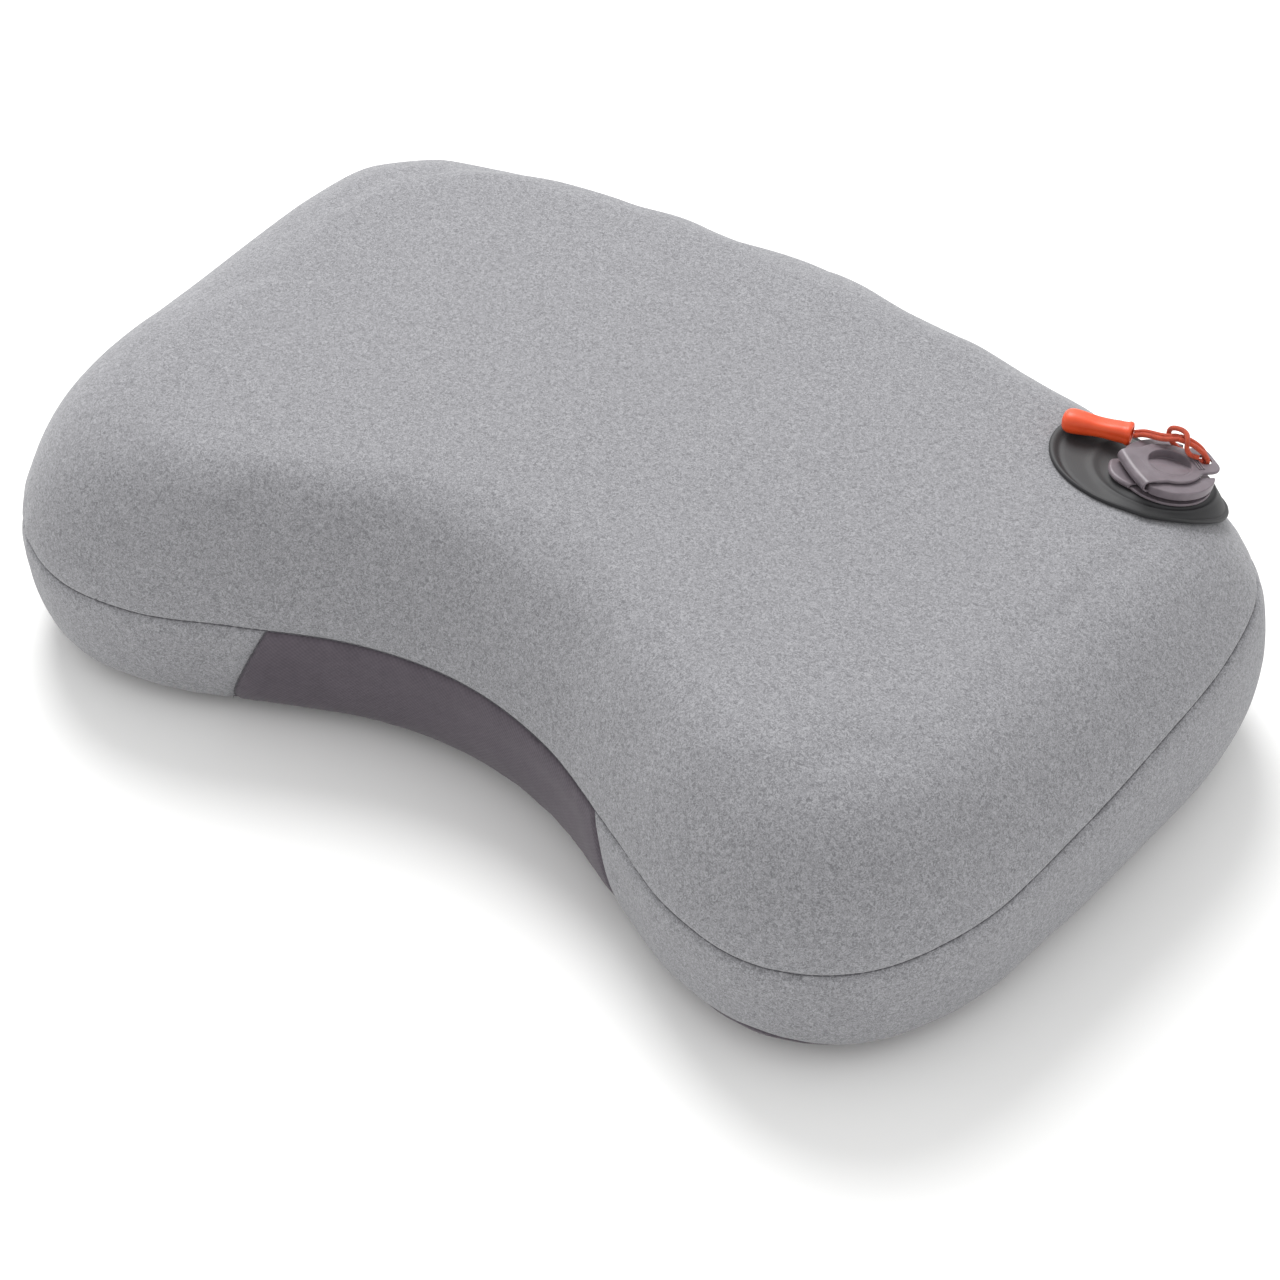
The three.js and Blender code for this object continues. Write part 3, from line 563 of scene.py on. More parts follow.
SEAM_Z = 58 * MM  # upper seam: height at the middle of the pillow
SEAM_RISE = 0.083  # its rise towards the back
SEAM_END_LIFT = 3 * MM  # extra height at the two ends
BASE_SEAM_Z = 5 * MM
BASE_LIFT = 7.5 * MM  # the base seam rides up under the right front lobe
BASE_LIFT_X = 148 * MM
BASE_LIFT_WIDTH = 30 * MM
FRONT_TOP_X = 72.5 * MM  # the front panel's end at the upper seam
FRONT_LOW_RIGHT_X = 84 * MM  # and at the base seam
FRONT_LOW_LEFT_X = 92 * MM
FRONT_TOP_Z = 48 * MM
FRONT_BACK_Y = -60 * MM  # the panel's seams lie in front of this
LOWEST = 0.1 * MM  # the fabric stays this far above the ground
SEAM_CUTS = [v * MM for v in (-3.4, -1.9, -0.9, 0, 0.9, 1.9, 3.4)]
GROOVE_DEPTH = 1.1 * MM
GROOVE_WIDTH = 1.1 * MM

half_outline = [Vector((x, y, 0)) * MM for x, y in HALF_OUTLINE]
mirrored = [Vector((-p.x, p.y, 0)) for p in reversed(half_outline[1:-1])]
outline = smooth_line(half_outline + mirrored, True, FORM_STEP)
outline_tree = KDTree(len(outline))
for index, point in enumerate(outline):
    outline_tree.insert(point, index)
outline_tree.balance()


def clamp(value, low, high):
    return max(low, min(high, value))


def smoothstep(value, low, high):
    t = clamp((value - low) / (high - low), 0, 1)
    return t * t * (3 - 2 * t)


def section(s):
    """Inset and height along a section: 0 edge of the flat base, 1 girth, 2 shoulder, 3 crown."""
    if s <= 1:
        angle = s * math.pi / 2
        return (
            SKIRT_INSET * (1 - math.sin(angle) ** (2 / SKIRT_POWER)),
            GIRTH_Z * (1 - max(math.cos(angle), 0) ** (2 / SKIRT_POWER)),
        )
    angle = min(s - 1, 1) * math.pi / 2
    inset = SHOULDER_INSET * (1 - max(math.cos(angle), 0) ** (2 / SHOULDER_POWER))
    if s > 2:
        inset = SHOULDER_INSET + (CROWN_INSET - SHOULDER_INSET) * (s - 2)
    rise = 1 - (1 - inset / CROWN_INSET) ** 2
    height = (SHOULDER_Z - GIRTH_Z) * math.sin(angle) ** (2 / SHOULDER_POWER)
    return inset, GIRTH_Z + height + (HEIGHT - SHOULDER_Z) * rise


def pillow_form():
    """The inflated pillow's outer surface as one closed mesh."""
    bm = bmesh.new()
    rows = [k / 10 for k in range(0, 11)] + [1 + k / 14 for k in range(1, 15)] + [2.25, 2.5, 2.75, 3]
    rings = []
    for s in rows:
        inset, z = section(s)
        ring = []
        for edge in outline:
            ridge = Vector((clamp(edge.x * RIDGE_SPREAD, -RIDGE_HALF, RIDGE_HALF), RIDGE_Y, 0))
            point = edge + (ridge - edge).normalized() * inset
            ring.append(bm.verts.new((point.x, point.y, z)))
        rings.append(ring)
    for low, high in zip(rings, rings[1:]):
        for k in range(len(low)):
            after = (k + 1) % len(low)
            bm.faces.new((low[k], low[after], high[after], high[k]))
    lids = [bm.faces.new(rings[0]), bm.faces.new(rings[-1])]
    bmesh.ops.triangulate(bm, faces=lids)
    bmesh.ops.recalc_face_normals(bm, faces=bm.faces)
    return bm


def to_mesh(bm, name):
    mesh = bpy.data.meshes.new(name)
    bm.to_mesh(mesh)
    bm.free()
    return mesh


def with_modifier(piece, kind, **settings):
    """Adds one modifier and applies it."""
    modifier = piece.modifiers.new(kind.lower(), kind)
    for key, value in settings.items():
        setattr(modifier, key, value)
    bpy.context.view_layer.update()
    old = piece.data
    piece.data = bpy.data.meshes.new_from_object(
        piece.evaluated_get(bpy.context.evaluated_depsgraph_get())
    )
    piece.modifiers.clear()
    bpy.data.meshes.remove(old)


def seam_height(point):
    """Height above the upper seam."""
    return point.z - SEAM_Z - SEAM_RISE * point.y - SEAM_END_LIFT * (point.x / HALF_LENGTH) ** 2


def base_height(point):
    """Height above the base seam."""
    lift = BASE_LIFT * math.exp(-((point.x - BASE_LIFT_X) / BASE_LIFT_WIDTH) ** 2)
    return point.z - BASE_SEAM_Z - lift * smoothstep(-point.y, 60 * MM, 110 * MM)


def front_reach(point):
    """Distance along X past the end of the front panel."""
    low_x = FRONT_LOW_RIGHT_X if point.x > 0 else FRONT_LOW_LEFT_X
    lean = (low_x - FRONT_TOP_X) / (FRONT_TOP_Z - BASE_SEAM_Z)
    return abs(point.x) - low_x + lean * (point.z - BASE_SEAM_Z)


def in_front(point):
    return point.y < FRONT_BACK_Y and seam_height(point) < 0 and point.z > BASE_SEAM_Z


def swell(piece):
    """Blows the cloth up from inside, so that it stretches and puckers as sewn fabric does."""
    shrink = piece.vertex_groups.new(name="seams")
    for vertex in piece.data.vertices:
        near = min(abs(seam_height(vertex.co)), abs(base_height(vertex.co)))
        shrink.add([vertex.index], 1 - smoothstep(near, 2 * MM, 14 * MM), "REPLACE")
    cloth = piece.modifiers.new("air", "CLOTH")
    cloth.settings.quality = 6
    cloth.settings.mass = 0.12
    cloth.settings.tension_stiffness = 18
    cloth.settings.compression_stiffness = 12
    cloth.settings.shear_stiffness = 6
    cloth.settings.bending_stiffness = 0.6
    cloth.settings.use_pressure = True
    cloth.settings.uniform_pressure_force = 4
    cloth.settings.effector_weights.gravity = 0
    cloth.settings.vertex_group_shrink = shrink.name
    cloth.settings.shrink_min = -0.02
    cloth.settings.shrink_max = 0.035
    cloth.point_cache.frame_start = 1
    cloth.point_cache.frame_end = SWELL_FRAMES
    before = [vertex.co.copy() for vertex in piece.data.vertices]
    for step in range(1, SWELL_FRAMES + 1):
        scene.frame_set(step)
    puffed = piece.evaluated_get(bpy.context.evaluated_depsgraph_get()).to_mesh()
    after = [vertex.co.copy() for vertex in puffed.vertices]
    piece.modifiers.clear()
    piece.vertex_groups.clear()
    for vertex, start, end in zip(piece.data.vertices, before, after):
        move = end - start
        vertex.co = start + move * min(1, SWELL_LIMIT / max(move.length, 1e-9))
    scene.frame_set(1)


def hold_to_form(piece, form):
    """Keeps every point within the slack of the finished form, and above the ground."""
    found = [form.find_nearest(vertex.co)[:2] for vertex in piece.data.vertices]
    away = [
        (vertex.co - nearest).dot(normal)
        for vertex, (nearest, normal) in zip(piece.data.vertices, found)
    ]
    beside = [[] for _ in away]
    for edge in piece.data.edges:
        a, b = edge.vertices
        beside[a].append(b)
        beside[b].append(a)
    for _ in range(EASING):
        away = [
            (own + sum(away[k] for k in near) / len(near)) / 2
            for own, near in zip(away, beside)
        ]
    middle = sum(away) / len(away)
    for vertex, (nearest, normal), off in zip(piece.data.vertices, found, away):
        sideways = math.hypot(normal.x, normal.y)
        vertex.co = nearest + normal * (clamp((off - middle) / 2, -SLACK, SLACK) + PLUMP * sideways)
        vertex.co.z = max(vertex.co.z, 2 * LOWEST)


def distance_round(point):
    """How far round the outline a point is."""
    _, index, _ = outline_tree.find(Vector((point.x, point.y, 0)))
    before = outline[index - 1]
    along = (outline[(index + 1) % len(outline)] - before).normalized()
    return index * FORM_STEP + (Vector((point.x, point.y, 0)) - outline[index]).dot(along)


def wander(value, seed):
    """Smooth noise along a line, from -1 to 1."""
    return noise.noise(Vector((value, seed, 0.37)))


def shape_detail(point, normal):
    """Outward movement of the fabric: seam grooves, puckers beside them and soft facets."""
    upright = max(math.hypot(normal.x, normal.y), 0.35)
    upper = abs(seam_height(point)) / upright
    base = abs(base_height(point)) / upright
    ends = abs(front_reach(point)) if in_front(point) else 1.0
    nearest = min(upper, base, ends)
    round_at = distance_round(point)
    groove = -GROOVE_DEPTH * math.exp(-(nearest / GROOVE_WIDTH) ** 2)
    puff = 0.4 * MM * math.exp(-((nearest - 7.5 * MM) / (4.5 * MM)) ** 2)
    # Puckers about 12.5 mm apart, stronger here and there, that die away from the upper seam.
    ripple = math.sin(TURN * round_at / (12.5 * MM) + 3.2 * wander(round_at / (34 * MM), 2.1))
    strength = 0.45 + 0.9 * max(wander(round_at / (70 * MM), 5.3), -0.3)
    fading = math.exp(-upper / (9 * MM)) * smoothstep(upper, 0.6 * MM, 2.4 * MM)
    pucker = 0.42 * MM * ripple * strength * fading
    # Soft corners about 58 mm apart round the shoulder, fullest at the back.
    shoulder = math.exp(-((point.z - 84 * MM) / (13 * MM)) ** 2)
    corner = abs(math.cos(math.pi * round_at / (58 * MM) + 0.9 * wander(round_at / (90 * MM), 8.8)))
    back = 0.35 + 0.65 * smoothstep(point.y, -40 * MM, 70 * MM)
    facet = (0.7 * corner ** 3 - 0.3) * MM * shoulder * back
    slow = 0.45 * MM * noise.noise(point / (55 * MM)) * smoothstep(point.z, 30 * MM, 70 * MM)
    return groove + puff + pucker + facet + slow


def cut_along(bm, height_of, offsets, mark, where=None):
    """Cuts the mesh along lines of equal height_of, and marks the cut at zero as a seam."""
    place = bm.verts.layers.float_vector.new("place")
    seam = bm.edges.layers.int["seam"]
    for vertex in bm.verts:
        vertex[place] = vertex.co
    for vertex in bm.verts:
        vertex.co.z = height_of(vertex[place])
    for offset in offsets:
        faces = [
            face for face in bm.faces
            if where is None or where(sum((v[place] for v in face.verts), Vector()) / len(face.verts))
        ]
        edges = list({edge for face in faces for edge in face.edges})
        corners = list({vertex for face in faces for vertex in face.verts})
        made = bmesh.ops.bisect_plane(
            bm, geom=faces + edges + corners, dist=1e-6, plane_co=(0, 0, offset), plane_no=(0, 0, 1)
        )
        if offset == 0:
            for edge in made["geom_cut"]:
                if isinstance(edge, bmesh.types.BMEdge):
                    edge[seam] = mark
    for vertex in bm.verts:
        vertex.co = vertex[place]
    bm.verts.layers.float_vector.remove(place)


def flatten_for_valve(point):
    """Lowers the fabric under the valve to the plane that the patch lies in."""
    local = to_valve @ point
    away = math.hypot(local.x, local.y)
    if away > VALVE_DRAPE or local.z < -VALVE_REACH:
        return point
    flat = min(local.z, -1.5 * MM)
    share = 1 - smoothstep(away, VALVE_FLAT, VALVE_DRAPE)
    local.z += (flat - local.z) * share
    return valve @ local


UPPER, BASE, FRONT = 1, 2, 3  # marks of the seams
TOP_PANEL, SIDE_BAND, FRONT_PANEL, BASE_PANEL = 0, 1, 2, 3  # marks of the panels


def panel_of(point):
    if seam_height(point) > 0:
        return TOP_PANEL
    if base_height(point) < 0:
        return BASE_PANEL
    return FRONT_PANEL if in_front(point) and front_reach(point) < 0 else SIDE_BAND


def make_pillow():
    """The whole cover as one cut mesh with its detail, as a bmesh."""
    form = pillow_form()
    tree = BVHTree.FromBMesh(form)
    form.normal_update()
    for vertex in form.verts:
        vertex.co -= vertex.normal * START_DEPTH
    piece = bpy.data.objects.new("pillow_cloth", to_mesh(form, "pillow_cloth"))
    scene.collection.objects.link(piece)
    with_modifier(piece, "REMESH", mode="VOXEL", voxel_size=VOXEL)
    swell(piece)
    hold_to_form(piece, tree)
    with_modifier(piece, "SUBSURF", levels=1, render_levels=1)
    bm = bmesh.new()
    bm.from_mesh(piece.data)
    bpy.data.objects.remove(piece)
    bm.edges.layers.int.new("seam")
    bm.faces.layers.int.new("panel")
    cut_along(bm, seam_height, SEAM_CUTS, UPPER)
    cut_along(bm, base_height, [v * 0.6 for v in SEAM_CUTS], BASE)
    cut_along(
        bm, front_reach, SEAM_CUTS, FRONT,
        lambda p: p.y < FRONT_BACK_Y and seam_height(p) < 0 and base_height(p) > 0,
    )
    bm.normal_update()
    moved = [vertex.co + vertex.normal * shape_detail(vertex.co, vertex.normal) for vertex in bm.verts]
    panel = bm.faces.layers.int["panel"]
    for face in bm.faces:
        face[panel] = panel_of(face.calc_center_median())
    for vertex, place in zip(bm.verts, moved):
        vertex.co = flatten_for_valve(place)
        vertex.co.z = max(vertex.co.z, LOWEST)
    bm.normal_update()
    return bm


pillow = make_pillow()
pillow_surface = BVHTree.FromBMesh(pillow)


SEAM_ALLOWANCE = 2.2 * MM  # how far a panel's edge is turned in
VALVE_CUT = 15.3 * MM  # radius of the hole in the top panel under the valve


def add_panel(name, number, slot, node_name):
    """One panel of the cover, with its edge turned in along the seams as a seam allowance."""
    bm = pillow.copy()
    panel = bm.faces.layers.int["panel"]
    bmesh.ops.delete(bm, geom=[f for f in bm.faces if f[panel] != number], context="FACES")
    if number == TOP_PANEL:
        inside = []
        for face in bm.faces:
            local = to_valve @ face.calc_center_median()
            if math.hypot(local.x, local.y) < VALVE_CUT and local.z > -VALVE_REACH:
                inside.append(face)
        bmesh.ops.delete(bm, geom=inside, context="FACES")
    rim = [edge for edge in bm.edges if edge.is_boundary]
    normals = {v: v.normal.copy() for edge in rim for v in edge.verts}
    made = bmesh.ops.extrude_edge_only(bm, edges=rim)["geom"]
    turned = [v for v in made if isinstance(v, bmesh.types.BMVert)]
    places = {tuple(v.co): normal for v, normal in normals.items()}
    for vertex in turned:
        vertex.co -= places[tuple(vertex.co)] * SEAM_ALLOWANCE
    uv = bm.loops.layers.uv.new("UVMap")
    for face in bm.faces:
        for loop in face.loops:
            co = loop.vert.co
            loop[uv].uv = (co.x, co.z) if number == FRONT_PANEL else (co.x, co.y)
    mesh = to_mesh(bm, name)
    mesh.shade_smooth()
    piece = add_piece(name, mesh, slot)
    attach(piece, "pillow")
    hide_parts(node_name)


add_panel("top_panel", TOP_PANEL, "knit", "cover_top_panel")
add_panel("side_band", SIDE_BAND, "knit", "cover_side_band")
add_panel("front_panel", FRONT_PANEL, "woven", "cover_front_panel")
add_panel("base_panel", BASE_PANEL, "woven", "cover_base_panel")

# ---------------------------------------------------------------- sewn seams

THREAD_RADIUS = 0.42 * MM
THREAD_SUNK = 0.1 * MM
STITCH = 3.2 * MM
NEEDLE_HOLE = 0.45  # the thread's thickness where it dips into the cloth, as a share of the rest


def walk(edges):
    """The points of a chain or ring of edges, in order, and whether it is a ring."""
    ends = {}
    for edge in edges:
        for vertex in edge.verts:
            ends.setdefault(vertex, []).append(edge)
    start = next((v for v, around in ends.items() if len(around) == 1), None)
    ring = start is None
    vertex = start or edges[0].verts[0]
    used, line = set(), [vertex]
    while True:
        following = next((e for e in ends[vertex] if e not in used), None)
        if following is None:
            break
        used.add(following)
        vertex = following.other_vert(vertex)
        line.append(vertex)
    if ring:
        line.pop()
    return line, ring


def add_seam(name, edges, node_name):
    """Stitches lying in the groove: a thread that dips into the cloth at each needle hole."""
    line, ring = walk(edges)
    points = [vertex.co - vertex.normal * THREAD_SUNK for vertex in line]
    points = evenly(points, STITCH / 4, ring)
    if ring:
        points.append(points[0].copy())
    curve = bpy.data.curves.new(name, "CURVE")
    curve.dimensions = "3D"
    curve.bevel_depth = THREAD_RADIUS
    curve.bevel_resolution = 2
    spline = curve.splines.new("POLY")
    spline.points.add(len(points) - 1)
    for index, (knot, point) in enumerate(zip(spline.points, points)):
        knot.co = (*point, 1)
        knot.radius = NEEDLE_HOLE if index % 4 == 0 else 1
    holder = bpy.data.objects.new(name, curve)
    mesh = bpy.data.meshes.new_from_object(holder)
    bpy.data.objects.remove(holder)
    mesh.shade_smooth()
    piece = add_piece(name, mesh, "thread")
    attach(piece, "pillow")
    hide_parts(node_name)


def add_seams():
    seam = pillow.edges.layers.int["seam"]
    marked = {mark: [e for e in pillow.edges if e[seam] == mark] for mark in (UPPER, BASE, FRONT)}
    add_seam("upper_seam", marked[UPPER], "seam_upper")
    add_seam("lower_seam", marked[BASE], "seam_base")
    right = [e for e in marked[FRONT] if e.verts[0].co.x > 0]
    left = [e for e in marked[FRONT] if e.verts[0].co.x < 0]
    add_seam("front_seam_right", right, "seam_front_right")
    add_seam("front_seam_left", left, "seam_front_left")


add_seams()

# ---------------------------------------------------------------- valve's backing patch

PATCH_MIDDLE = Vector((152.5, 84, 0)) * MM
PATCH_RADIUS = 33 * MM  # half its length, along X
PATCH_NARROW = 0.79  # its depth as a share of its length
PATCH_HOLE = 14.6 * MM
PATCH_THICK = 1.4 * MM  # from the fabric to the valve's own zero height
PATCH_SECTORS = 96
SKY_Z = 200 * MM  # above everything, where a plumb line starts

# Half-section of the patch from its hole outwards and back underneath: share of the
# way out, and height over the fabric in millimetres.
PATCH_SECTION = [
    # Flat under the valve, then the groove round it.
    (0.0, 1.4), (0.06, 1.4), (0.12, 1.4), (0.17, 1.36), (0.2, 1.1), (0.23, 0.95), (0.28, 0.92), (0.33, 1.0),
    # The raised ring, then the wide flat.
    (0.37, 1.35), (0.4, 1.42), (0.43, 1.36), (0.47, 1.12), (0.52, 1.04), (0.58, 1.04), (0.64, 1.04),
    (0.7, 1.04), (0.76, 1.04), (0.8, 1.0),
    # The welded groove and the bead along the edge.
    (0.83, 0.86), (0.855, 0.82), (0.88, 1.05), (0.905, 1.45), (0.93, 1.68), (0.955, 1.75), (0.98, 1.62),
    (0.995, 1.25), (1.0, 0.8),
    # Back underneath.
    (0.995, 0.35), (0.95, 0.1), (0.7, 0.1), (0.4, 0.1), (0.0, 0.3),
]


def patch_point(share, angle, height):
    """A point of the patch: its rings go from round the port to round the patch's own middle."""
    port = Vector((valve_at.x, valve_at.y, 0))
    middle = port.lerp(PATCH_MIDDLE, share)
    radius = PATCH_HOLE + (PATCH_RADIUS - PATCH_HOLE) * share
    narrow = 1 + (PATCH_NARROW - 1) * share
    x = middle.x + radius * math.cos(angle)
    y = middle.y + narrow * radius * math.sin(angle)
    on_cloth, normal, _, _ = pillow_surface.ray_cast(Vector((x, y, SKY_Z)), Vector((0, 0, -1)))
    away = math.hypot(x - port.x, y - port.y)
    draped = smoothstep(away, VALVE_FLAT, VALVE_DRAPE)
    base = valve_at - valve_w * PATCH_THICK
    fall = (x - base.x) * valve_w.x + (y - base.y) * valve_w.y
    flat_z = base.z - fall / valve_w.z
    facing = valve_w.lerp(normal, draped).normalized()
    z = max(flat_z + (on_cloth.z - flat_z) * draped, on_cloth.z)
    return Vector((x, y, z)) + facing * height * MM


def add_patch():
    bm = bmesh.new()
    rings = []
    for share, height in PATCH_SECTION:
        ring = [
            bm.verts.new(patch_point(share, k * TURN / PATCH_SECTORS, height)) for k in range(PATCH_SECTORS)
        ]
        rings.append([bm.edges.new(pair) for pair in zip(ring, ring[1:] + ring[:1])])
    for inner, outer in zip(rings, rings[1:] + rings[:1]):
        bmesh.ops.bridge_loops(bm, edges=inner + outer)
    bmesh.ops.recalc_face_normals(bm, faces=bm.faces)
    mesh = to_mesh(bm, "backing_patch")
    mesh.shade_smooth()
    piece = add_piece("backing_patch", mesh, "patch")
    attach(piece, "pillow")
    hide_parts("valve_patch")


add_patch()
pillow.free()

# ---------------------------------------------------------------- valve mouldings

PLATE_R = 16.5  # the flap's plate; sizes from here on are in millimetres
PLATE_EDGE_U = -12.6
PLATE_LOW, PLATE_TOP = 2.8, 6.0
PORT_R = 9.6
PORT_WALL_R = 11.2
NOTCH = (7.0, -8.3, 11.0)  # start along u, lower and upper side along v
CAP_LOW, CAP_TOP = 6.3, 7.5
CAP_R = 11.6
CAP_FOLD_U = -10.2
CAP_FOLD_HALF = 10.0
CUP_R, CUP_RECESS_R = 9.0, 7.6
CUP_LOW = 1.7
DISH_TOP, DISH_FLOOR = 7.5, 4.4  # the cap's dish runs out flush on one side
DISH_SHALLOW = Vector((-0.45, -0.89, 0))  # the way in which it grows shallow
TAB_END_U, TAB_HALF, TAB_CORNER = 17.5, 7.5, 4.0
BAR_EDGE = 0.12
CORD_HOLE_U, CORD_HOLE_R = 13.6, 2.6


def plate(loops, low, high, edge):
    """A flat moulding with rounded edges between two heights; its first loop is its outline."""
    curve = bpy.data.curves.new("plate", "CURVE")
    curve.dimensions = "2D"
    curve.fill_mode = "BOTH"
    curve.extrude = (high - low) / 2 - edge
    curve.bevel_depth = edge
    curve.bevel_resolution = 2
    curve.offset = -edge
    for loop in loops:
        spline = curve.splines.new("POLY")
        spline.points.add(len(loop) - 1)
        for knot, point in zip(spline.points, loop):
            knot.co = (point.x, point.y, 0, 1)
        spline.use_cyclic_u = True
    holder = bpy.data.objects.new("plate", curve)
    mesh = bpy.data.meshes.new_from_object(holder)
    bpy.data.objects.remove(holder)
    mesh.transform(Matrix.Translation((0, 0, (low + high) / 2)))
    return mesh


def turned(profile, edge=0.25):
    """A ring or bowl turned about the valve's axis from a closed profile of radius and height."""
    bm = bmesh.new()
    corners = [bm.verts.new((r, 0, z)) for r, z in profile]
    edges = [bm.edges.new(pair) for pair in zip(corners, corners[1:] + corners[:1])]
    bmesh.ops.spin(
        bm, geom=corners + edges, cent=(0, 0, 0), axis=(0, 0, 1), angle=TURN, steps=72, use_merge=True
    )
    bmesh.ops.remove_doubles(bm, verts=bm.verts, dist=0.001)
    bmesh.ops.recalc_face_normals(bm, faces=bm.faces)
    sharp = [e for e in bm.edges if len(e.link_faces) == 2 and e.calc_face_angle() > 0.7]
    bmesh.ops.bevel(bm, geom=sharp, offset=edge, segments=3, profile=0.5, affect="EDGES", material=-1)
    return to_mesh(bm, "turned")


def bar(from_u, to_u, half_v, low, high, turn=0.0):
    """A rounded bar lying along u, or turned about the valve's axis, in degrees."""
    bm = bmesh.new()
    bmesh.ops.create_cube(bm, size=1)
    bmesh.ops.scale(bm, vec=(to_u - from_u, 2 * half_v, high - low), verts=bm.verts)
    bmesh.ops.translate(bm, vec=((from_u + to_u) / 2, 0, (low + high) / 2), verts=bm.verts)
    bmesh.ops.bevel(
        bm, geom=bm.edges[:], offset=BAR_EDGE, segments=3, profile=0.5, affect="EDGES", material=-1
    )
    bm.transform(Matrix.Rotation(math.radians(turn), 4, "Z"))
    return to_mesh(bm, "bar")


def sliced(mesh, half_length, slices=12):
    """The same mesh with extra cuts along Z, so that it can be bent."""
    bm = bmesh.new()
    bm.from_mesh(mesh)
    for k in range(1, slices):
        height = half_length * (2 * k / slices - 1)
        bmesh.ops.bisect_plane(
            bm, geom=bm.faces[:] + bm.edges[:] + bm.verts[:], plane_co=(0, 0, height), plane_no=(0, 0, 1)
        )
    bpy.data.meshes.remove(mesh)
    return to_mesh(bm, "sliced")


def folded_strap(low_end, high_end, fold_u, low, high, thickness, half_length, v=0.0, bow=0.0):
    """A living hinge folded back on itself, a C seen along the hinge; bow rounds its fold off at the ends."""
    middle = (low + high) / 2
    outer = (high - low) / 2
    inner = outer - thickness
    outside = arc(outer, 270, 90, 20, (fold_u, middle))
    inside = arc(inner, 90, 270, 20, (fold_u, middle))
    profile = [
        Vector((low_end, low, 0)), *outside, Vector((high_end, high, 0)),
        Vector((high_end, high - thickness, 0)), *inside, Vector((low_end, low + thickness, 0)),
    ]
    mesh = sliced(plate([profile], -half_length, half_length, 0.18), half_length)
    mesh.transform(Matrix(((1, 0, 0, 0), (0, 0, -1, v), (0, 1, 0, 0), (0, 0, 0, 1))))
    for vertex in mesh.vertices:
        out = clamp((high_end - vertex.co.x) / (high_end - fold_u), 0, 1)
        vertex.co.x += bow * out * (abs(vertex.co.y - v) / half_length) ** 2
    return mesh


def add_moulding(name, meshes, slot, *nodes):
    """Brings the shells of one moulding together, in the valve's place."""
    bm = bmesh.new()
    for mesh in meshes:
        bm.from_mesh(mesh)
        bpy.data.meshes.remove(mesh)
    bmesh.ops.remove_doubles(bm, verts=bm.verts, dist=0.002)
    bmesh.ops.recalc_face_normals(bm, faces=bm.faces)
    bm.transform(valve @ Matrix.Scale(MM, 4))
    mesh = to_mesh(bm, name)
    mesh.shade_smooth()
    mesh.set_sharp_from_angle(angle=math.radians(40))
    piece = add_piece(name, mesh, slot)
    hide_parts(*nodes)
    weighted = piece.modifiers.new("even_shading", "WEIGHTED_NORMAL")
    weighted.keep_sharp = True
    return piece


def dished_cup():
    """The cap's plug, with a dish in its top that is deep on one side and runs out on the other."""
    floor = [(1.2 * k, DISH_FLOOR) for k in range(6, -1, -1)]  # rings enough to bend
    cup = turned([
        (0, CUP_LOW), (CUP_R, CUP_LOW), (CUP_R, DISH_TOP), (CUP_RECESS_R, DISH_TOP), *floor,
    ], edge=0.3)
    for vertex in cup.vertices:
        if vertex.co.z > CUP_LOW + 1 and math.hypot(vertex.co.x, vertex.co.y) < CUP_RECESS_R:
            shallow = smoothstep(vertex.co.dot(DISH_SHALLOW), -7.4, 4)
            vertex.co.z += (DISH_TOP - 0.05 - vertex.co.z) * shallow
    return cup


def flap_outline():
    """The flap's plate: round, straight at its hinges, notched beside the finger tab."""
    start_u, low_v, high_v = NOTCH
    at_edge = math.degrees(math.acos(PLATE_EDGE_U / PLATE_R))
    low_turn = math.degrees(math.asin(low_v / PLATE_R))
    high_turn = math.degrees(math.asin(high_v / PLATE_R))
    wall_low = math.degrees(math.asin(low_v / PORT_WALL_R))
    wall_high = math.degrees(math.acos(start_u / PORT_WALL_R))
    points = [
        *arc(PLATE_R, -at_edge, low_turn, 40),
        *arc(PORT_WALL_R, wall_low, wall_high, 20),
        Vector((start_u, high_v, 0)),
        *arc(PLATE_R, high_turn, at_edge, 30),
    ]
    return soften(evenly(points, 0.4, True), 12)


def cap_outline():
    """The cap's plate: round, straight at its fold, with the finger tab opposite."""
    at_fold = math.degrees(math.asin(CAP_FOLD_HALF / CAP_R))
    at_neck = math.degrees(math.asin(TAB_HALF / CAP_R))
    corner_u = TAB_END_U - TAB_CORNER
    corner_v = TAB_HALF - TAB_CORNER
    points = [
        Vector((CAP_FOLD_U, -CAP_FOLD_HALF, 0)),
        *arc(CAP_R, at_fold - 180, -at_neck, 40),
        *arc(TAB_CORNER, -90, 0, 10, (corner_u, -corner_v)),
        *arc(TAB_CORNER, 0, 90, 10, (corner_u, corner_v)),
        *arc(CAP_R, at_neck, 180 - at_fold, 40),
        Vector((CAP_FOLD_U, CAP_FOLD_HALF, 0)),
    ]
    return soften(evenly(points, 0.35, True), 6)


def circle(radius, steps=64, middle=(0, 0)):
    return arc(radius, 0, 360 * (steps - 1) / steps, steps - 1, middle)


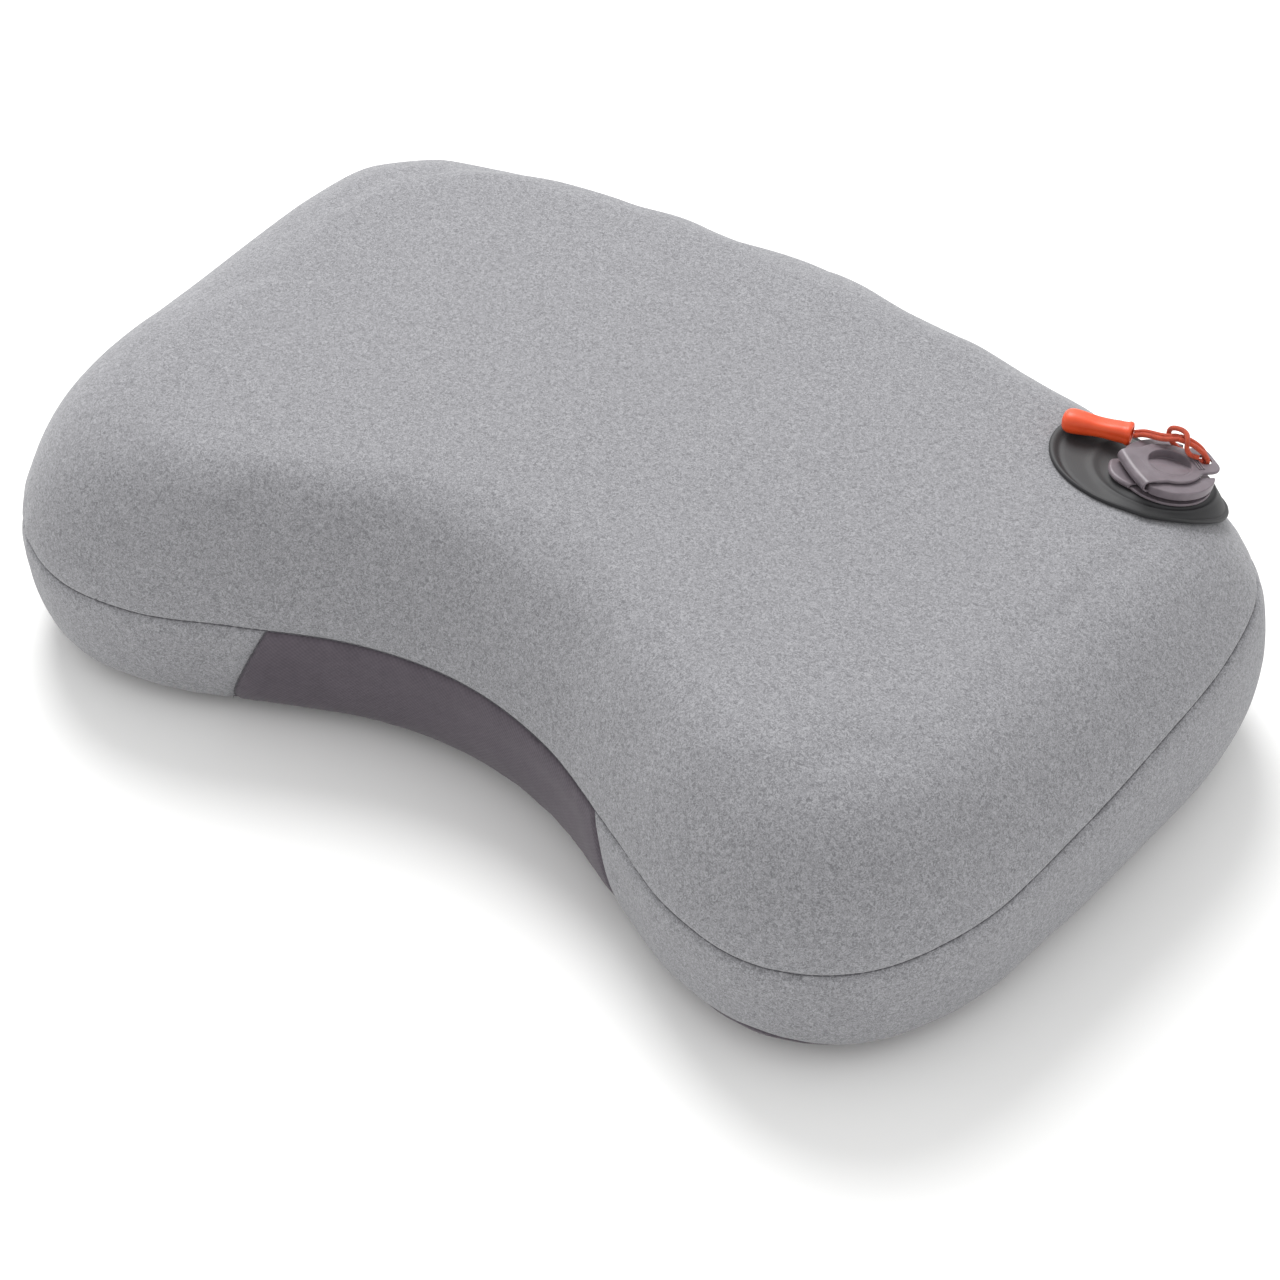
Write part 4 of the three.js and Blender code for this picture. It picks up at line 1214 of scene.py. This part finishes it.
def add_valve():
    seat = add_moulding("valve_ring", [turned([
        (12.9, -9), (14.1, -9), (14.1, 0.3), (16.2, 0.3), (16.2, 1.3), (12.9, 1.3),
    ])], "valve", "valve_seat")
    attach(seat, "pillow")

    shells = [
        plate([flap_outline(), circle(PORT_R + 0.4)], PLATE_LOW, PLATE_TOP, 0.45),
        turned([(PORT_R, -3), (11.9, -3), (11.9, 3.3), (11.1, 5.9), (10.2, 6.05), (PORT_R, 5.9)]),
    ]
    shells += [bar(-9.9, 9.9, 0.8, -1.8, -1.0, turn) for turn in (0, 60, 120)]
    flap = add_moulding("valve_flap", shells, "valve", "deflation_flap")
    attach(flap, "flap")

    shells = [
        plate([cap_outline(), circle(8.6), circle(CORD_HOLE_R, 32, (CORD_HOLE_U, 0))], CAP_LOW, CAP_TOP, 0.4),
        dished_cup(),
    ]
    for rib_u in (8.6, 9.5, 10.4):
        shells.append(bar(rib_u, rib_u + 0.45, 5.6, CAP_TOP - 0.3, CAP_TOP + 0.45))
    cap = add_moulding("valve_cap", shells, "valve", "inflation_cap")
    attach(cap, "cap")

    lower = add_moulding("flap_strap", [
        folded_strap(-16.0, -12.0, -18.6, 0.35, 2.55, 0.7, 7.5, 3.5, bow=3.2),
    ], "valve", "flap_hinge_strap")
    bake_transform(lower)
    upper = add_moulding("cap_strap", [
        folded_strap(-12.4, -9.6, -13.4, 3.05, 7.48, 0.7, 10.0, bow=0.7),
    ], "valve", "cap_hinge_strap")
    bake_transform(upper)


add_valve()

# ---------------------------------------------------------------- pull tab

TAB_MOUTH = valve_point(-4.9, 19.3, 6.3)
TAB_TAIL = valve_point(-24, 34.8, 3.7)
TAB_FLATNESS = 0.85


def add_pull_tab():
    """Grip moulded on the cord's ends: rimmed at its mouth, waisted, full and round at its tail."""
    total = (TAB_TAIL - TAB_MOUTH).length / MM
    profile = [
        (0, 1.6), (2.5, 1.6), (2.7, 0.1), (3.5, 0), (4.05, 0.5), (4.1, 1.5), (3.85, 2.2), (3.8, 5),
        (3.7, 9), (3.8, 13), (4.2, 16.5), (4.55, total - 5), (4.6, total - 3.6), (4.2, total - 1.7),
        (3.0, total - 0.5), (1.5, total - 0.08), (0, total),
    ]
    bm = bmesh.new()
    line = [bm.verts.new((r, 0, z)) for r, z in profile]
    edges = [bm.edges.new(pair) for pair in zip(line, line[1:])]
    bmesh.ops.spin(
        bm, geom=line + edges, cent=(0, 0, 0), axis=(0, 0, 1), angle=TURN, steps=40, use_merge=True
    )
    bmesh.ops.remove_doubles(bm, verts=bm.verts, dist=0.001)
    bmesh.ops.recalc_face_normals(bm, faces=bm.faces)
    bmesh.ops.subdivide_edges(bm, edges=bm.edges, cuts=1, use_grid_fill=True, smooth=0.6)
    for vertex in bm.verts:
        x, y, z = vertex.co
        dent = math.exp(-((z - 10) / 4.4) ** 4) * math.exp(-(x / 2.4) ** 4)
        squared = 1 + (0.17 - 0.1 * z / total) * abs(math.sin(2 * math.atan2(y, x))) ** 1.5
        vertex.co = (x * squared, (y - math.copysign(0.32, y) * dent) * TAB_FLATNESS * squared, z)
    along = (TAB_TAIL - TAB_MOUTH).normalized()
    across = valve_w.cross(along).normalized()
    thin = along.cross(across)
    turn = Matrix((across, thin, along)).transposed().to_4x4()
    bm.transform(Matrix.Translation(TAB_MOUTH) @ turn @ Matrix.Scale(MM, 4))
    mesh = to_mesh(bm, "grip")
    mesh.shade_smooth()
    piece = add_piece("grip", mesh, "pull_tab")
    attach(piece, "cord_end")
    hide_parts("pull_tab")


add_pull_tab()

# ---------------------------------------------------------------- floor and light


def add_floor():
    bm = bmesh.new()
    bmesh.ops.create_grid(bm, x_segments=1, y_segments=1, size=6)
    floor = bpy.data.objects.new("floor", to_mesh(bm, "floor"))
    scene.collection.objects.link(floor)
    material, tree = new_material("pale_floor")
    shader = node(
        tree, "ShaderNodeBsdfPrincipled", Base_Color=linear("#f7f7f6"), Roughness=0.9, Specular_IOR_Level=0.1
    )
    node(tree, "ShaderNodeOutputMaterial", Surface=shader)
    floor.data.materials.append(material)


def add_light(name, place, aim, size, power):
    lamp = bpy.data.lights.new(name, "AREA")
    lamp.shape = "DISK"
    lamp.size = size
    lamp.energy = power
    light = bpy.data.objects.new(name, lamp)
    light.location = place
    light.rotation_euler = (Vector(aim) - Vector(place)).to_track_quat("-Z", "Y").to_euler()
    scene.collection.objects.link(light)


def set_light():
    world = bpy.data.worlds.new("soft_studio")
    world.use_nodes = True
    background = world.node_tree.nodes["Background"]
    background.inputs["Color"].default_value = linear("#ffffff")
    background.inputs["Strength"].default_value = 0.9
    scene.world = world
    add_light("key", (-1.2, 1.1, 2.0), (0, 0, 0), 1.5, 62)
    add_light("low_left", (-1.5, -0.9, 0.2), (0, 0, 0.03), 0.7, 3.5)
    add_light("low_right", (1.6, -0.4, 0.2), (0, 0, 0.03), 0.7, 3.5)
    scene.view_settings.view_transform = "Standard"


add_floor()
set_light()
